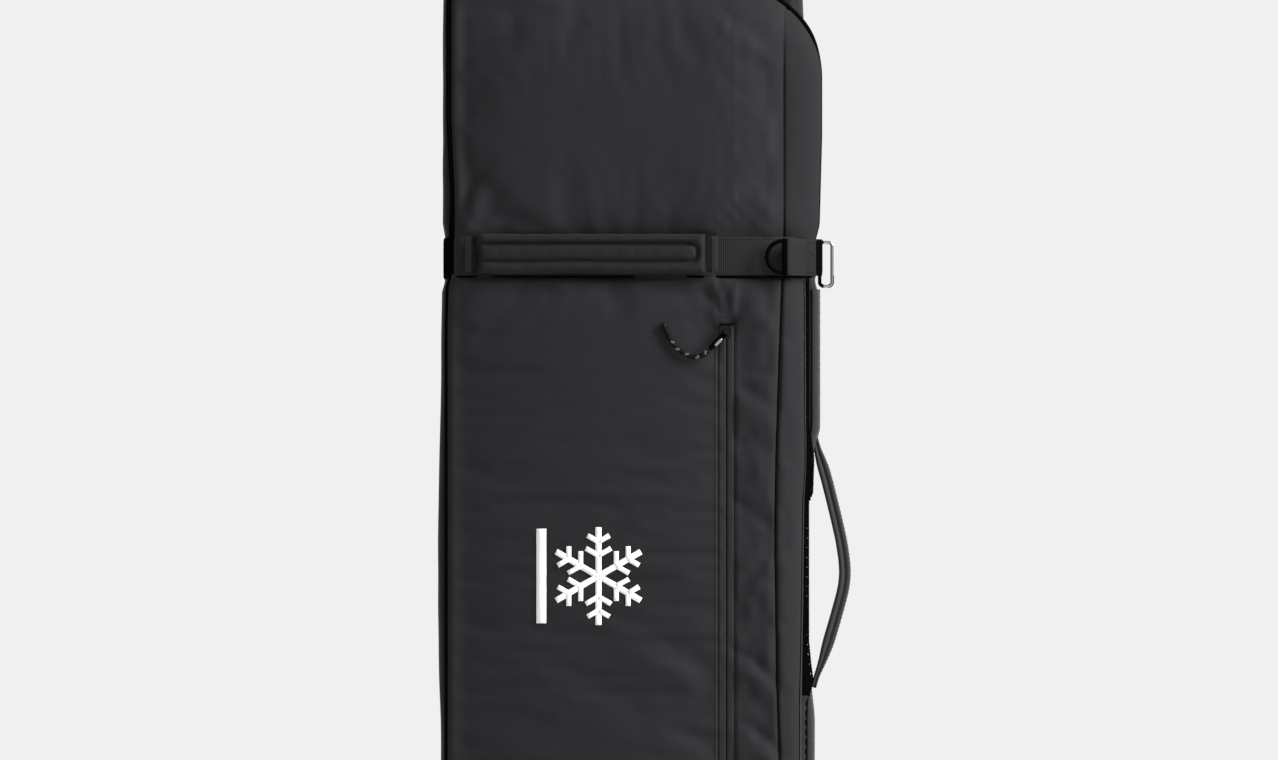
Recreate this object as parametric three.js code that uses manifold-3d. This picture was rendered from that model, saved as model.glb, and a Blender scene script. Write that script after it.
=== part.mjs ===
// Padded snowboard bag, standing on its tail: a full-length body with a lid that unzips on three sides.
// Millimetres, +X to the right of the front, +Y towards the back, +Z up. Origin: centre of the flat tail.
import * as THREE from "three";
import { mergeVertices } from "three/addons/utils/BufferGeometryUtils.js";
import Module from "manifold-3d";

const wasm = await Module();
wasm.setup();

// ---- driving dimensions -------------------------------------------------------------------------
const BAG_LENGTH = 1680;
const TAIL_HEIGHT = 58; // the reinforced tail that the bag stands on
const FRONT_Y = -65;
const BACK_Y = 65;
const LID_RIM_Y = -27; // the zipper fills the space between the two rims
const BODY_RIM_Y = -13;
const ZIP_Y = (LID_RIM_Y + BODY_RIM_Y) / 2;
const GAP = 0.4; // between pieces that are sewn together
const SHELL = 2.2; // outer fabric
const FOAM = 4.6;
const LINING = 1.2;

const BODY_LEFT = -171;
const BODY_RIGHT = 171;
const NOSE_RIGHT = 160;
const NOSE_RADIUS = 115;
const LID_LEFT = -168;
const LID_BOTTOM = 64;
const LID_TOP = 1382;
const LID_CORNER = 97; // rounded corners on the zipper side
const LID_HINGE_CORNER = 26;
const FRONT_SEAM_X = 143; // seam between the front panel and the side panel

const BALANCE_Z = 840; // middle of the carry handle
const STRAP_SPACING = 576; // between the two load straps, centred on the carry handle
const UPPER_STRAP_Z = BALANCE_Z + STRAP_SPACING / 2;
const LOWER_STRAP_Z = BALANCE_Z - STRAP_SPACING / 2;
const WEBBING_WIDTH = 36;
const WEBBING = 1.8; // webbing thickness

// ---- solids -------------------------------------------------------------------------------------
function solid(geometry) {
  const bare = geometry.index ? geometry.toNonIndexed() : geometry.clone();
  bare.deleteAttribute("normal");
  bare.deleteAttribute("uv");
  const merged = mergeVertices(bare, 1e-3);
  return new wasm.Manifold(
    new wasm.Mesh({
      numProp: 3,
      vertProperties: merged.attributes.position.array,
      triVerts: new Uint32Array(merged.index.array),
    }),
  );
}

function geometryOf(manifold) {
  const { vertProperties, triVerts } = manifold.getMesh();
  const geometry = new THREE.BufferGeometry();
  geometry.setAttribute("position", new THREE.BufferAttribute(vertProperties, 3));
  geometry.setIndex(new THREE.BufferAttribute(triVerts, 1));
  return geometry;
}

// A flat outline in X and Z, extruded along Y from y0 to y1.
function slab(points, y0, y1, holes = []) {
  const shape = new THREE.Shape(points);
  shape.holes = holes.map((hole) => new THREE.Path(hole));
  const geometry = new THREE.ExtrudeGeometry(shape, { depth: y1 - y0, bevelEnabled: false });
  return geometry.rotateX(Math.PI / 2).translate(0, y1, 0);
}

// A flat outline in X and Y, extruded along Z from z0 to z1.
function column(points, z0, z1, holes = []) {
  const shape = new THREE.Shape(points);
  shape.holes = holes.map((hole) => new THREE.Path(hole));
  const geometry = new THREE.ExtrudeGeometry(shape, { depth: z1 - z0, bevelEnabled: false });
  return geometry.translate(0, 0, z0);
}

function box(x0, x1, y0, y1, z0, z1) {
  const geometry = new THREE.BoxGeometry(x1 - x0, y1 - y0, z1 - z0);
  return geometry.translate((x0 + x1) / 2, (y0 + y1) / 2, (z0 + z1) / 2);
}

// Stacks outlines, given front to back, into one closed body. All have the same number of points.
function loft(rings) {
  const count = rings[0].points.length;
  const position = rings.flatMap(({ y, points }) => points.flatMap((p) => [p.x, y, p.y]));
  const index = [];
  for (let i = 0; i + 1 < rings.length; i++) {
    for (let j = 0; j < count; j++) {
      const a = i * count + j;
      const b = i * count + ((j + 1) % count);
      index.push(a, a + count, b + count, a, b + count, b);
    }
  }
  const last = (rings.length - 1) * count;
  for (const [a, b, c] of THREE.ShapeUtils.triangulateShape(rings[0].points, [])) {
    index.push(a, b, c);
  }
  for (const [a, b, c] of THREE.ShapeUtils.triangulateShape(rings.at(-1).points, [])) {
    index.push(last + a, last + c, last + b);
  }
  const geometry = new THREE.BufferGeometry();
  geometry.setAttribute("position", new THREE.Float32BufferAttribute(position, 3));
  geometry.setIndex(index);
  return geometry;
}

// ---- outlines -----------------------------------------------------------------------------------
const point = (x, y) => new THREE.Vector2(x, y);

function arc(cx, cy, rx, ry, fromDeg, toDeg, steps) {
  return Array.from({ length: steps + 1 }, (_, i) => {
    const angle = THREE.MathUtils.degToRad(fromDeg + ((toDeg - fromDeg) * i) / steps);
    return point(cx + rx * Math.cos(angle), cy + ry * Math.sin(angle));
  });
}

const round = (cx, cy, r, fromDeg, toDeg, steps) => arc(cx, cy, r, r, fromDeg, toDeg, steps);

// Moves each point of a line to its left, seen along the line, by one number or one for each point.
function offset(points, by, closed) {
  const n = points.length;
  return points.map((p, i) => {
    const before = closed || i > 0 ? points[(i + n - 1) % n] : null;
    const after = closed || i < n - 1 ? points[(i + 1) % n] : null;
    const u = (before ? p.clone().sub(before) : after.clone().sub(p)).normalize();
    const v = (after ? after.clone().sub(p) : p.clone().sub(before)).normalize();
    const normal = point(-u.y - v.y, u.x + v.x).normalize();
    const stretch = Math.max(0.5, normal.dot(point(-u.y, u.x)));
    return p.clone().addScaledVector(normal, (Array.isArray(by) ? by[i] : by) / stretch);
  });
}

const inset = (outline, by) => offset(outline, by, true);

// A strip between two offsets of an open line.
const strip = (line, from, to) => [
  ...offset(line, from, false),
  ...offset(line, to, false).reverse(),
];

function steps(value, table) {
  const next = table.findIndex(([at]) => at > value);
  if (next === 0) return table[0][1];
  if (next < 0) return table.at(-1)[1];
  const [[a, from], [b, to]] = [table[next - 1], table[next]];
  return THREE.MathUtils.mapLinear(value, a, b, from, to);
}

// The lid's widest outline, anticlockwise from its lower left corner, seen from the front.
const lidRight = (z) =>
  steps(z, [
    [1040, 167],
    [1100, 171],
    [1160, 172],
    [1230, 176],
  ]);
const LID_SIDE_HEIGHTS = [1040, 1100, 1160, 1230];
const lidEdge = [
  ...round(LID_LEFT + LID_HINGE_CORNER, LID_BOTTOM + LID_HINGE_CORNER, LID_HINGE_CORNER, 180, 270, 3),
  ...round(lidRight(0) - LID_CORNER, LID_BOTTOM + LID_CORNER, LID_CORNER, -90, 0, 7),
  ...LID_SIDE_HEIGHTS.map((z) => point(lidRight(z), z)),
  ...round(lidRight(LID_TOP) - LID_CORNER, LID_TOP - LID_CORNER, LID_CORNER, 0, 90, 8),
  ...round(LID_LEFT + LID_HINGE_CORNER, LID_TOP - LID_HINGE_CORNER, LID_HINGE_CORNER, 90, 180, 3),
];

// The lid puffs out past its zipper, most of all at the upper right.
const ZIP_X = 161;
function puff(p) {
  const side = THREE.MathUtils.clamp(lidRight(p.y) - ZIP_X, 6, 15);
  const share = THREE.MathUtils.smoothstep(p.x, lidRight(LID_TOP) - LID_CORNER, lidRight(p.y));
  return p.x < 0 ? 4 : 6 + (side - 6) * share;
}
const lidPuff = lidEdge.map(puff);
const zipLine = inset(lidEdge, lidPuff);

// Each pair is a depth, and how far the outline there lies inside the widest one.
const LID_FRONT = [
  [-42, 0],
  [-52, 2.5],
  [-59, 8],
  [-63.5, 16],
  [FRONT_Y, 22],
];
function lidRings(wall) {
  const face = FRONT_Y + wall;
  const front = LID_FRONT.map(([y, by]) => ({
    y: Math.max(y, face),
    points: inset(lidEdge, Math.max(wall, by * (1 - wall / 60) + wall * 0.6)),
  })).filter(({ y }, i) => i === LID_FRONT.length - 1 || y > face + 0.5);
  const rim = [
    { y: LID_RIM_Y - 6, points: inset(lidEdge, lidPuff.map((b) => 0.35 * b + wall)) },
    { y: LID_RIM_Y, points: inset(zipLine, wall) },
  ];
  if (wall > 0) rim.push({ y: LID_RIM_Y + 20, points: inset(zipLine, wall) });
  return [...front.reverse(), ...rim];
}

const bodyRight = (z) =>
  steps(z, [
    [1100, BODY_RIGHT],
    [1285, 169],
    [1345, NOSE_RIGHT],
  ]);
const bodyLeft = (z) =>
  steps(z, [
    [1400, BODY_LEFT],
    [1480, -165],
  ]);
const BODY_CORNER = 40;
const BODY_BOTTOM = TAIL_HEIGHT + 1;
const noseZ = BAG_LENGTH - NOSE_RADIUS;
const bodyEdge = [
  ...arc(BODY_LEFT + BODY_CORNER, BODY_BOTTOM + BODY_CORNER, BODY_CORNER, BODY_CORNER, 180, 270, 4),
  ...arc(BODY_RIGHT - BODY_CORNER, BODY_BOTTOM + BODY_CORNER, BODY_CORNER, BODY_CORNER, -90, 0, 4),
  ...[1100, 1285, 1345].map((z) => point(bodyRight(z), z)),
  ...arc(NOSE_RIGHT - NOSE_RADIUS, noseZ, NOSE_RADIUS, NOSE_RADIUS, 0, 90, 9),
  ...arc(bodyLeft(noseZ) + NOSE_RADIUS, noseZ, NOSE_RADIUS, NOSE_RADIUS, 90, 180, 9),
  ...[1480, 1400].map((z) => point(bodyLeft(z), z)),
];
const BODY_DEPTHS = [
  [BODY_RIM_Y, 8],
  [-8, 3.5],
  [0, 0.8],
  [8, 0],
  [34, 0],
  [46, 2.5],
  [56, 9],
  [62.5, 18],
  [BACK_Y, 30],
];
function bodyRings(wall) {
  const rings = BODY_DEPTHS.map(([y, by]) => ({
    y: THREE.MathUtils.clamp(y, BODY_RIM_Y + wall, BACK_Y - wall),
    points: inset(bodyEdge, by * (1 - wall / 60) + wall),
  }));
  const [first, last] = [rings[0], rings.at(-1)];
  return [first, ...rings.filter(({ y }) => y > first.y + 0.5 && y < last.y - 0.5), last];
}

// ---- assembly helpers ---------------------------------------------------------------------------
const group = new THREE.Group();
const fabric = new THREE.MeshStandardMaterial({ color: 0x2e2c2f, roughness: 0.85, metalness: 0 });
const tarpaulin = new THREE.MeshStandardMaterial({ color: 0x1c1c1e, roughness: 0.6, metalness: 0 });
const webbing = new THREE.MeshStandardMaterial({ color: 0x3a3a3b, roughness: 0.8, metalness: 0 });
const liningCloth = new THREE.MeshStandardMaterial({ color: 0x6b6e73, roughness: 0.9, metalness: 0 });
const foam = new THREE.MeshStandardMaterial({ color: 0xc9c6bd, roughness: 0.95, metalness: 0 });
const zipTape = new THREE.MeshStandardMaterial({ color: 0x161617, roughness: 0.7, metalness: 0 });
const metal = new THREE.MeshStandardMaterial({ color: 0x8b8d90, roughness: 0.3, metalness: 1 });
const cordMaterial = new THREE.MeshStandardMaterial({ color: 0x1b1b1d, roughness: 0.8, metalness: 0 });
const plastic = new THREE.MeshStandardMaterial({ color: 0x121213, roughness: 0.5, metalness: 0 });

function add(name, shape, material) {
  const mesh = new THREE.Mesh(shape.isBufferGeometry ? shape : geometryOf(shape), material);
  mesh.name = name;
  group.add(mesh);
  return mesh;
}

const FAR = 3000;
const halfGap = GAP / 2;
const leftOf = (x) => solid(box(-FAR, x - halfGap, -FAR, FAR, -FAR, FAR));
const rightOf = (x) => solid(box(x + halfGap, FAR, -FAR, FAR, -FAR, FAR));
const above = (z) => solid(box(-FAR, FAR, -FAR, FAR, z + halfGap, FAR));
const below = (z) => solid(box(-FAR, FAR, -FAR, FAR, -FAR, z - halfGap));

// ---- body: the full-length half that the board lies in ------------------------------------------
const BACK_SEAM = 31; // seams of the flat panels, in from the edge
const NOSE_SEAM = 9;
const NOSE_GUSSET_Z = 1420;
const TAIL_GUSSET_Z = BODY_BOTTOM + BODY_CORNER;
const NOSE_LAP = 10; // the opening's edge, in from the zipper

function buildBody() {
  const opening = solid(slab(inset(zipLine, NOSE_LAP / 2), BODY_RIM_Y - 30, BODY_RIM_Y + 12));
  const shell = solid(loft(bodyRings(0))).subtract(solid(loft(bodyRings(SHELL)))).subtract(opening);

  const backRegion = (by) => solid(slab(inset(bodyEdge, by), 30, BACK_Y + 10));
  const frontRegion = (by) => solid(slab(inset(bodyEdge, by), BODY_RIM_Y - 10, 10));
  add("back_panel", shell.intersect(backRegion(BACK_SEAM)), fabric);
  const front = shell.intersect(frontRegion(NOSE_SEAM));
  add("nose_panel", front.intersect(above(BALANCE_Z)).intersect(above(1290)), fabric);

  const gusset = shell.subtract(backRegion(BACK_SEAM - GAP)).subtract(frontRegion(NOSE_SEAM - GAP));
  const sides = gusset.intersect(below(NOSE_GUSSET_Z)).intersect(above(TAIL_GUSSET_Z));
  add("side_gusset_left", sides.intersect(leftOf(0)), fabric);
  add("side_gusset_right", sides.intersect(rightOf(0)), fabric);
  add("nose_gusset", gusset.intersect(above(NOSE_GUSSET_Z)), fabric);
  add("tail_gusset", gusset.intersect(below(TAIL_GUSSET_Z)), fabric);

  const foamBack = BACK_Y - SHELL - GAP;
  add("back_foam", slab(inset(bodyEdge, BACK_SEAM + 2), foamBack - FOAM, foamBack), foam);
  for (const [side, x] of [["left", BODY_LEFT], ["right", BODY_RIGHT]]) {
    const inner = SHELL + GAP;
    const [x0, x1] = x < 0 ? [x + inner, x + inner + FOAM] : [x - inner - FOAM, x - inner];
    add(`side_foam_${side}`, box(x0, x1, 6, 36, TAIL_GUSSET_Z + 10, 1090), foam);
  }

  const liningWall = SHELL + FOAM + 2 * GAP;
  const lining = solid(loft(bodyRings(liningWall)))
    .subtract(solid(loft(bodyRings(liningWall + LINING))))
    .subtract(solid(slab(inset(zipLine, NOSE_LAP / 2), BODY_RIM_Y - 30, BODY_RIM_Y + 22)));
  add("body_lining", lining, liningCloth);
}

// ---- tail: the reinforced end that the bag stands on --------------------------------------------
function buildTail() {
  const TAIL_WALL = 3;
  const tailOutline = (by) => {
    const [left, right] = [BODY_LEFT + 2 + by, BODY_RIGHT - 2 - by];
    const [front, back] = [FRONT_Y + 2 + by, BACK_Y - by];
    const r = 34 - by;
    return [
      ...round(right - r, back - r, r, 0, 90, 5),
      ...round(left + r, back - r, r, 90, 180, 5),
      ...round(left + r, front + r, r, 180, 270, 5),
      ...round(right - r, front + r, r, 270, 360, 5),
    ];
  };
  const cup = solid(column(tailOutline(0), 0, TAIL_HEIGHT))
    .subtract(solid(column(tailOutline(TAIL_WALL), TAIL_WALL, TAIL_HEIGHT + 10)));
  add("tail_cup", cup, tarpaulin);
  add("tail_foam", column(tailOutline(TAIL_WALL + GAP), TAIL_WALL + GAP, TAIL_HEIGHT), foam);
}

// ---- lid: the front that unzips along its top, right side and bottom ----------------------------
const POCKET_ZIP_X = 89;
const POCKET_ZIP_TOP = 1068;
const POCKET_ZIP_BOTTOM = 600;
const POCKET_SLOT = 15;

function buildLid() {
  const shell = solid(loft(lidRings(0))).subtract(solid(loft(lidRings(SHELL))));
  const zipStrip = (half, y0, y1, inset) =>
    box(POCKET_ZIP_X - half, POCKET_ZIP_X + half, y0, y1, POCKET_ZIP_BOTTOM + inset, POCKET_ZIP_TOP - inset);
  const slot = solid(zipStrip(POCKET_SLOT / 2, FRONT_Y - 5, FRONT_Y + 5, 0));
  const seamLeft = LID_LEFT + 25;
  const seamTop = LID_TOP - 25;
  const seamBottom = LID_BOTTOM + 25;
  const middle = shell.intersect(rightOf(seamLeft)).intersect(leftOf(FRONT_SEAM_X));
  const front = middle.intersect(below(seamTop)).intersect(above(seamBottom));
  add("front_panel", front.subtract(slot), fabric);
  add("lid_top_gusset", middle.intersect(above(seamTop)), fabric);
  add("lid_bottom_gusset", middle.intersect(below(seamBottom)), fabric);
  add("lid_hinge_gusset", shell.intersect(leftOf(seamLeft)), fabric);
  add("lid_side_gusset", shell.intersect(rightOf(FRONT_SEAM_X)), fabric);

  const pocketY = FRONT_Y + SHELL + GAP;
  const [pocketBottom, pocketTop] = [POCKET_ZIP_BOTTOM - 80, POCKET_ZIP_TOP + 10];
  add("pocket_bag", box(-140, POCKET_ZIP_X + 12, pocketY, pocketY + 1, pocketBottom, pocketTop), liningCloth);
  const foamY = pocketY + 1 + GAP;
  add("lid_foam", slab(inset(lidEdge, 24), foamY, foamY + FOAM - 1), foam);

  const liningWall = foamY + FOAM - 1 + GAP - FRONT_Y;
  const lining = solid(loft(lidRings(liningWall))).subtract(solid(loft(lidRings(liningWall + LINING))));
  add("lid_lining", lining.intersect(solid(box(-FAR, FAR, -FAR, LID_RIM_Y, -FAR, FAR))), liningCloth);

  const tapeY = FRONT_Y + 0.3;
  add("pocket_zip", zipStrip(POCKET_SLOT / 2 - GAP, tapeY, tapeY + 1.6, GAP), zipTape);
}

// ---- main zipper: one half on the lid's rim, one on the body's ----------------------------------
function buildMainZip() {
  const ring = (y0, y1) => {
    const inside = solid(slab(inset(zipLine, 2.6), y0 - 1, y1 + 1));
    return solid(slab(inset(zipLine, 0.8), y0, y1)).subtract(inside);
  };
  const ZIP_END_X = LID_LEFT + LID_HINGE_CORNER + 4;
  const zipped = rightOf(ZIP_END_X);
  add("main_zip_lid_half", ring(LID_RIM_Y + GAP, ZIP_Y - halfGap).intersect(zipped), zipTape);
  add("main_zip_body_half", ring(ZIP_Y + halfGap, BODY_RIM_Y - GAP).intersect(zipped), zipTape);
  add("hinge_binding", ring(ZIP_Y + halfGap, BODY_RIM_Y - GAP).intersect(leftOf(ZIP_END_X)), fabric);
}

// ---- webbing: straps round the bag, with their rings --------------------------------------------
const RING_WIRE = 3.4;
const D_RING_X = FRONT_SEAM_X;
const TAB_WIDTH = 24;

// The lid's surface at a height, from the body's left rim across the front to the right.
function lidSection(z) {
  const left = LID_FRONT.map(([y, by]) => point(LID_LEFT + by, y));
  const right = LID_FRONT.map(([y, by]) => point(lidRight(z) - by, y));
  return [point(LID_LEFT + 1.4, LID_RIM_Y - 6), ...left, ...right.reverse()];
}

// The body's surface at a height, from its right rim round the back to its left rim.
function bodySection() {
  const right = BODY_DEPTHS.slice(1).map(([y, by]) => point(BODY_RIGHT - by, y));
  const left = BODY_DEPTHS.slice(1).map(([y, by]) => point(BODY_LEFT + by, y));
  return [...right, ...left.reverse()];
}

const dRingY = FRONT_Y - GAP - WEBBING - GAP - RING_WIRE / 2 - 0.6;
const strapRingPivot = (z) => point(lidRight(z) + 4, -37);

function buildStrap(level, z) {
  const [z0, z1] = [z - WEBBING_WIDTH / 2, z + WEBBING_WIDTH / 2];
  add(`strap_front_${level}`, column(strip(lidSection(z), -GAP - WEBBING, -GAP), z0, z1), webbing);
  add(`strap_back_${level}`, column(strip(bodySection(), -GAP - WEBBING, -GAP), z0, z1), webbing);

  // A tab holds the D-ring at its inner end and the strap ring at its outer end.
  const [t0, t1] = [z - TAB_WIDTH / 2, z + TAB_WIDTH / 2];
  const under = 2 * GAP + WEBBING;
  const surface = lidSection(z).filter((p) => p.x > D_RING_X);
  const run = [point(D_RING_X, FRONT_Y), ...surface, point(lidRight(z), -38)];
  const band = solid(column(strip(run, -under - WEBBING, -under), t0, t1));
  const pivot = strapRingPivot(z);
  const EYE = 2.7;
  const disc = (at, r, extra) => solid(column(round(at.x, at.y, r, 0, 337.5, 15), t0 - extra, t1 + extra));
  const eyes = [point(D_RING_X, dRingY), pivot];
  const strapClear = solid(column(strip(lidSection(z), -under, 30), t0 - 5, t1 + 5));
  let tab = band;
  for (const at of eyes) tab = tab.add(disc(at, EYE + WEBBING, 0));
  for (const at of eyes) tab = tab.subtract(disc(at, EYE, 1));
  add(`ring_tab_${level}`, tab.subtract(strapClear), webbing);

  // D-ring: its straight bar lies in the tab, and its bow points left over the strap.
  const bow = TAB_WIDTH / 2 + RING_WIRE / 2 + 0.8;
  const dPath = [
    ...arc(D_RING_X - 2, z, 15, bow, 90, 270, 8),
    point(D_RING_X, z - bow + 0.6),
    point(D_RING_X, z),
    point(D_RING_X, z + bow - 0.6),
  ].map((p) => new THREE.Vector3(p.x, dRingY, p.y));
  const dCurve = new THREE.CatmullRomCurve3(dPath, true, "centripetal");
  add(`d_ring_${level}`, new THREE.TubeGeometry(dCurve, 30, RING_WIRE / 2, 7, true), metal);

  // Rectangular strap ring, hanging a little low in its tab.
  const [w, h, drop] = [15, 44, 6];
  const ringOutline = (x0, x1, low, high, r) => [
    ...round(x1 - r, high - r, r, 0, 90, 4),
    ...round(x0 + r, high - r, r, 90, 180, 4),
    ...round(x0 + r, low + r, r, 180, 270, 4),
    ...round(x1 - r, low + r, r, 270, 360, 4),
  ];
  const wire = RING_WIRE;
  const [x0, low] = [pivot.x - wire / 2, z - drop - h / 2];
  const outer = ringOutline(x0, x0 + w, low, low + h, 4);
  const inner = ringOutline(x0 + wire, x0 + w - wire, low + wire, low + h - wire, 1.5);
  add(`strap_ring_${level}`, slab(outer, pivot.y - wire / 2, pivot.y + wire / 2, [inner]), metal);
}

// ---- padded grab handle across the front --------------------------------------------------------
function buildGrabHandle() {
  const [left, right] = [-140, 70];
  const z = UPPER_STRAP_Z + 3;
  const half = 18;
  const surface = FRONT_Y - GAP - WEBBING;
  const section = [
    point(left, surface - 3),
    point(left + 8, surface - 1.2),
    point(right - 8, surface - 1.2),
    point(right, surface - 3),
    point(right, surface - 5.5),
    point(right - 14, surface - 10),
    point(left + 14, surface - 10),
    point(left, surface - 5.5),
  ];
  add("grab_handle_pad", column(section, z - half, z + half), fabric);
  for (const [side, x0, x1] of [["left", left - 12, left - GAP], ["right", right + GAP, right + 11]]) {
    const tab = box(x0, x1, surface - 3.2, surface - GAP, z - half + 1, z + half - 2);
    add(`grab_handle_tab_${side}`, tab, webbing);
  }
}

// ---- carry handle and webbing down the right side -----------------------------------------------
const HANDLE_Y = 11; // middle of the side webbing
const HANDLE_HALF_SPAN = 111;
const HANDLE_REACH = 27;
const HANDLE_CUT = 27; // the free part of the handle starts this far inside each end
const GRIP_HALF = 46;
const FOLDED_WIDTH = WEBBING_WIDTH / 2; // the handle's webbing is folded along its middle
const STRAP_CLEAR = 26;

function buildSideHandle() {
  const side = BODY_RIGHT + GAP + WEBBING / 2;
  const peak = side + HANDLE_REACH;
  const upper = BALANCE_Z + HANDLE_HALF_SPAN;
  const lower = BALANCE_Z - HANDLE_HALF_SPAN;
  const bow = [
    point(side, lower),
    point(side + 3, lower + 12),
    point(peak - 4, BALANCE_Z - 22),
    point(peak, BALANCE_Z),
    point(peak - 4, BALANCE_Z + 22),
    point(side + 3, upper - 12),
    point(side, upper),
  ];
  const line = [
    point(side, LOWER_STRAP_Z + STRAP_CLEAR),
    point(side, lower - 1),
    ...bow,
    point(side, upper + 1),
    point(side, UPPER_STRAP_Z - STRAP_CLEAR),
  ];
  const along = (path, thickness, width) =>
    solid(slab(strip(path, -thickness / 2, thickness / 2), HANDLE_Y - width / 2, HANDLE_Y + width / 2));
  const flat = along(line, WEBBING, WEBBING_WIDTH);
  const top = upper - HANDLE_CUT;
  const bottom = lower + HANDLE_CUT;
  add("side_webbing_upper", flat.intersect(above(top)), webbing);
  add("side_webbing_lower", flat.intersect(below(bottom)), webbing);
  const folded = along(line, WEBBING + 1.2, FOLDED_WIDTH);
  add("side_handle_webbing", folded.intersect(below(top)).intersect(above(bottom)), webbing);

  // A stitched sleeve thickens the middle of the handle.
  const [lowEnd, lowMiddle, , highMiddle, highEnd] = bow.slice(1, 6);
  const reach = (GRIP_HALF - 22) / (HANDLE_HALF_SPAN - 34);
  const gripLine = [
    lowMiddle.clone().lerp(lowEnd, reach),
    ...bow.slice(2, 5),
    highMiddle.clone().lerp(highEnd, reach),
  ];
  const bore = along(line, WEBBING + 2, FOLDED_WIDTH + 2 * GAP);
  add("side_handle_grip", along(gripLine, WEBBING + 6.4, FOLDED_WIDTH + 5.2).subtract(bore), webbing);
}

// ---- haul loop on the nose ----------------------------------------------------------------------
function buildNoseLoop() {
  const base = BAG_LENGTH + GAP;
  const [half, rise, middle] = [48, 28, 24];
  const FOOT = 10.6; // the loop is free outside this distance from the line that it swings about
  const about = (r) => {
    const cylinder = new THREE.CylinderGeometry(r, r, 200, 32);
    return solid(cylinder.rotateZ(Math.PI / 2).translate(0, middle, base));
  };
  const outer = arc(0, base, half, rise, 0, 180, 14);
  const inner = arc(0, base, half - 2.6, rise - 2.6, 180, 0, 14);
  const loop = (width) => solid(slab([...outer, ...inner], middle - width / 2, middle + width / 2));
  const feet = loop(19).intersect(about(FOOT));
  add("nose_loop_foot_left", feet.intersect(leftOf(0)), webbing);
  add("nose_loop_foot_right", feet.intersect(rightOf(0)), webbing);
  add("nose_loop", loop(17).subtract(about(FOOT + GAP)), webbing);
}

// ---- sliders and pulls --------------------------------------------------------------------------
const SLIDER = { width: 9, length: 12, height: 3 };

// Sliders are drawn with their outward side up +Z and the zipper along Y, and then turned into place.
function sliderBody(bridge) {
  const { width, length, height } = SLIDER;
  const outline = [
    ...arc(0, length / 2 - 4, width / 2, 4, 0, 180, 8),
    point(-width / 2 + 1, -length / 2),
    point(width / 2 - 1, -length / 2),
  ];
  const base = solid(column(outline, 0, height));
  if (bridge === "post") {
    const post = solid(column(round(0, 0, 1.3, 0, 330, 11), height - 0.1, height + 2.5));
    const head = solid(column(round(0, 0, 2.8, 0, 337.5, 15), height + 2.2, height + 3.2));
    return base.add(post).add(head);
  }
  const arch = solid(box(-1.2, 1.2, -4.5, 4.5, height - 0.2, height + 4));
  return base.add(arch.subtract(solid(box(-2, 2, -3, 3, height, height + 2.3))));
}

function pullTab(slot) {
  if (slot === "post") {
    const outline = [
      ...round(0, 0, 3.6, 0, 180, 10),
      ...round(0, -21, 2.4, 180, 360, 8),
    ];
    return column(outline, 0, 1.3, [round(0, 0, 1.8, 0, -330, 11)]);
  }
  const outline = [
    point(3.5, 0.7),
    point(-3.5, 0.7),
    point(-3.5, -6.4),
    ...round(0, -17, 3, 180, 360, 8),
    point(3.5, -6.4),
  ];
  const hole = [point(1.7, -0.7), point(1.7, -5.4), point(-1.7, -5.4), point(-1.7, -0.7)];
  return column(outline, -0.7, 0.7, [hole]);
}

const POCKET_PIVOT = new THREE.Vector3(POCKET_ZIP_X, FRONT_Y - GAP - 0.2, 1059);
const POCKET_PULL_ANGLE = 45; // degrees, from straight down towards the left
const CORD_DIAMETER = 4.2;
// The cord's route from the pull tab's end, in X and Z.
const POCKET_CORD = [
  [72, 1042],
  [69.2, 1039.3],
  [66, 1037.3],
  [62.4, 1036.3],
  [58.6, 1036.1],
  [54.8, 1036.9],
  [51.2, 1038.3],
  [47.8, 1040.3],
  [44.6, 1042.7],
  [41.8, 1045.4],
  [39.2, 1048.4],
  [37, 1051.6],
  [35.1, 1055.1],
  [33.5, 1058.7],
  [32.2, 1062.6],
];

function buildPocketPull() {
  const slider = add("pocket_slider", sliderBody("post"), metal);
  slider.rotation.x = Math.PI / 2;
  slider.position.copy(POCKET_PIVOT);

  const tabHeight = SLIDER.height + 0.4;
  const tab = add("pocket_pull_tab", pullTab("post"), metal);
  tab.rotation.set(Math.PI / 2, THREE.MathUtils.degToRad(POCKET_PULL_ANGLE), 0, "YXZ");
  tab.position.set(POCKET_PIVOT.x, POCKET_PIVOT.y - tabHeight, POCKET_PIVOT.z);

  const y = POCKET_PIVOT.y - tabHeight - 0.65;
  const route = POCKET_CORD.map(([x, z]) => new THREE.Vector3(x, y, z));
  const section = new THREE.Shape(round(0, 0, CORD_DIAMETER / 2, 0, 315, 7));
  const line = new THREE.CatmullRomCurve3(route);
  const cord = new THREE.ExtrudeGeometry(section, { steps: 28, extrudePath: line });
  add("pocket_pull_cord", cord, cordMaterial);

  const [before, last] = route.slice(-2);
  const out = last.clone().sub(before).normalize();
  const tip = new THREE.CapsuleGeometry(3.1, 7, 4, 12);
  tip.applyQuaternion(new THREE.Quaternion().setFromUnitVectors(new THREE.Vector3(0, 1, 0), out));
  tip.translate(...last.clone().addScaledVector(out, 7).toArray());
  add("pocket_pull_tip", tip, plastic);
}

const MAIN_SLIDER_HEIGHTS = { upper: 304, lower: 276 };
const MAIN_SLIDER_X = ZIP_X + GAP;

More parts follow.
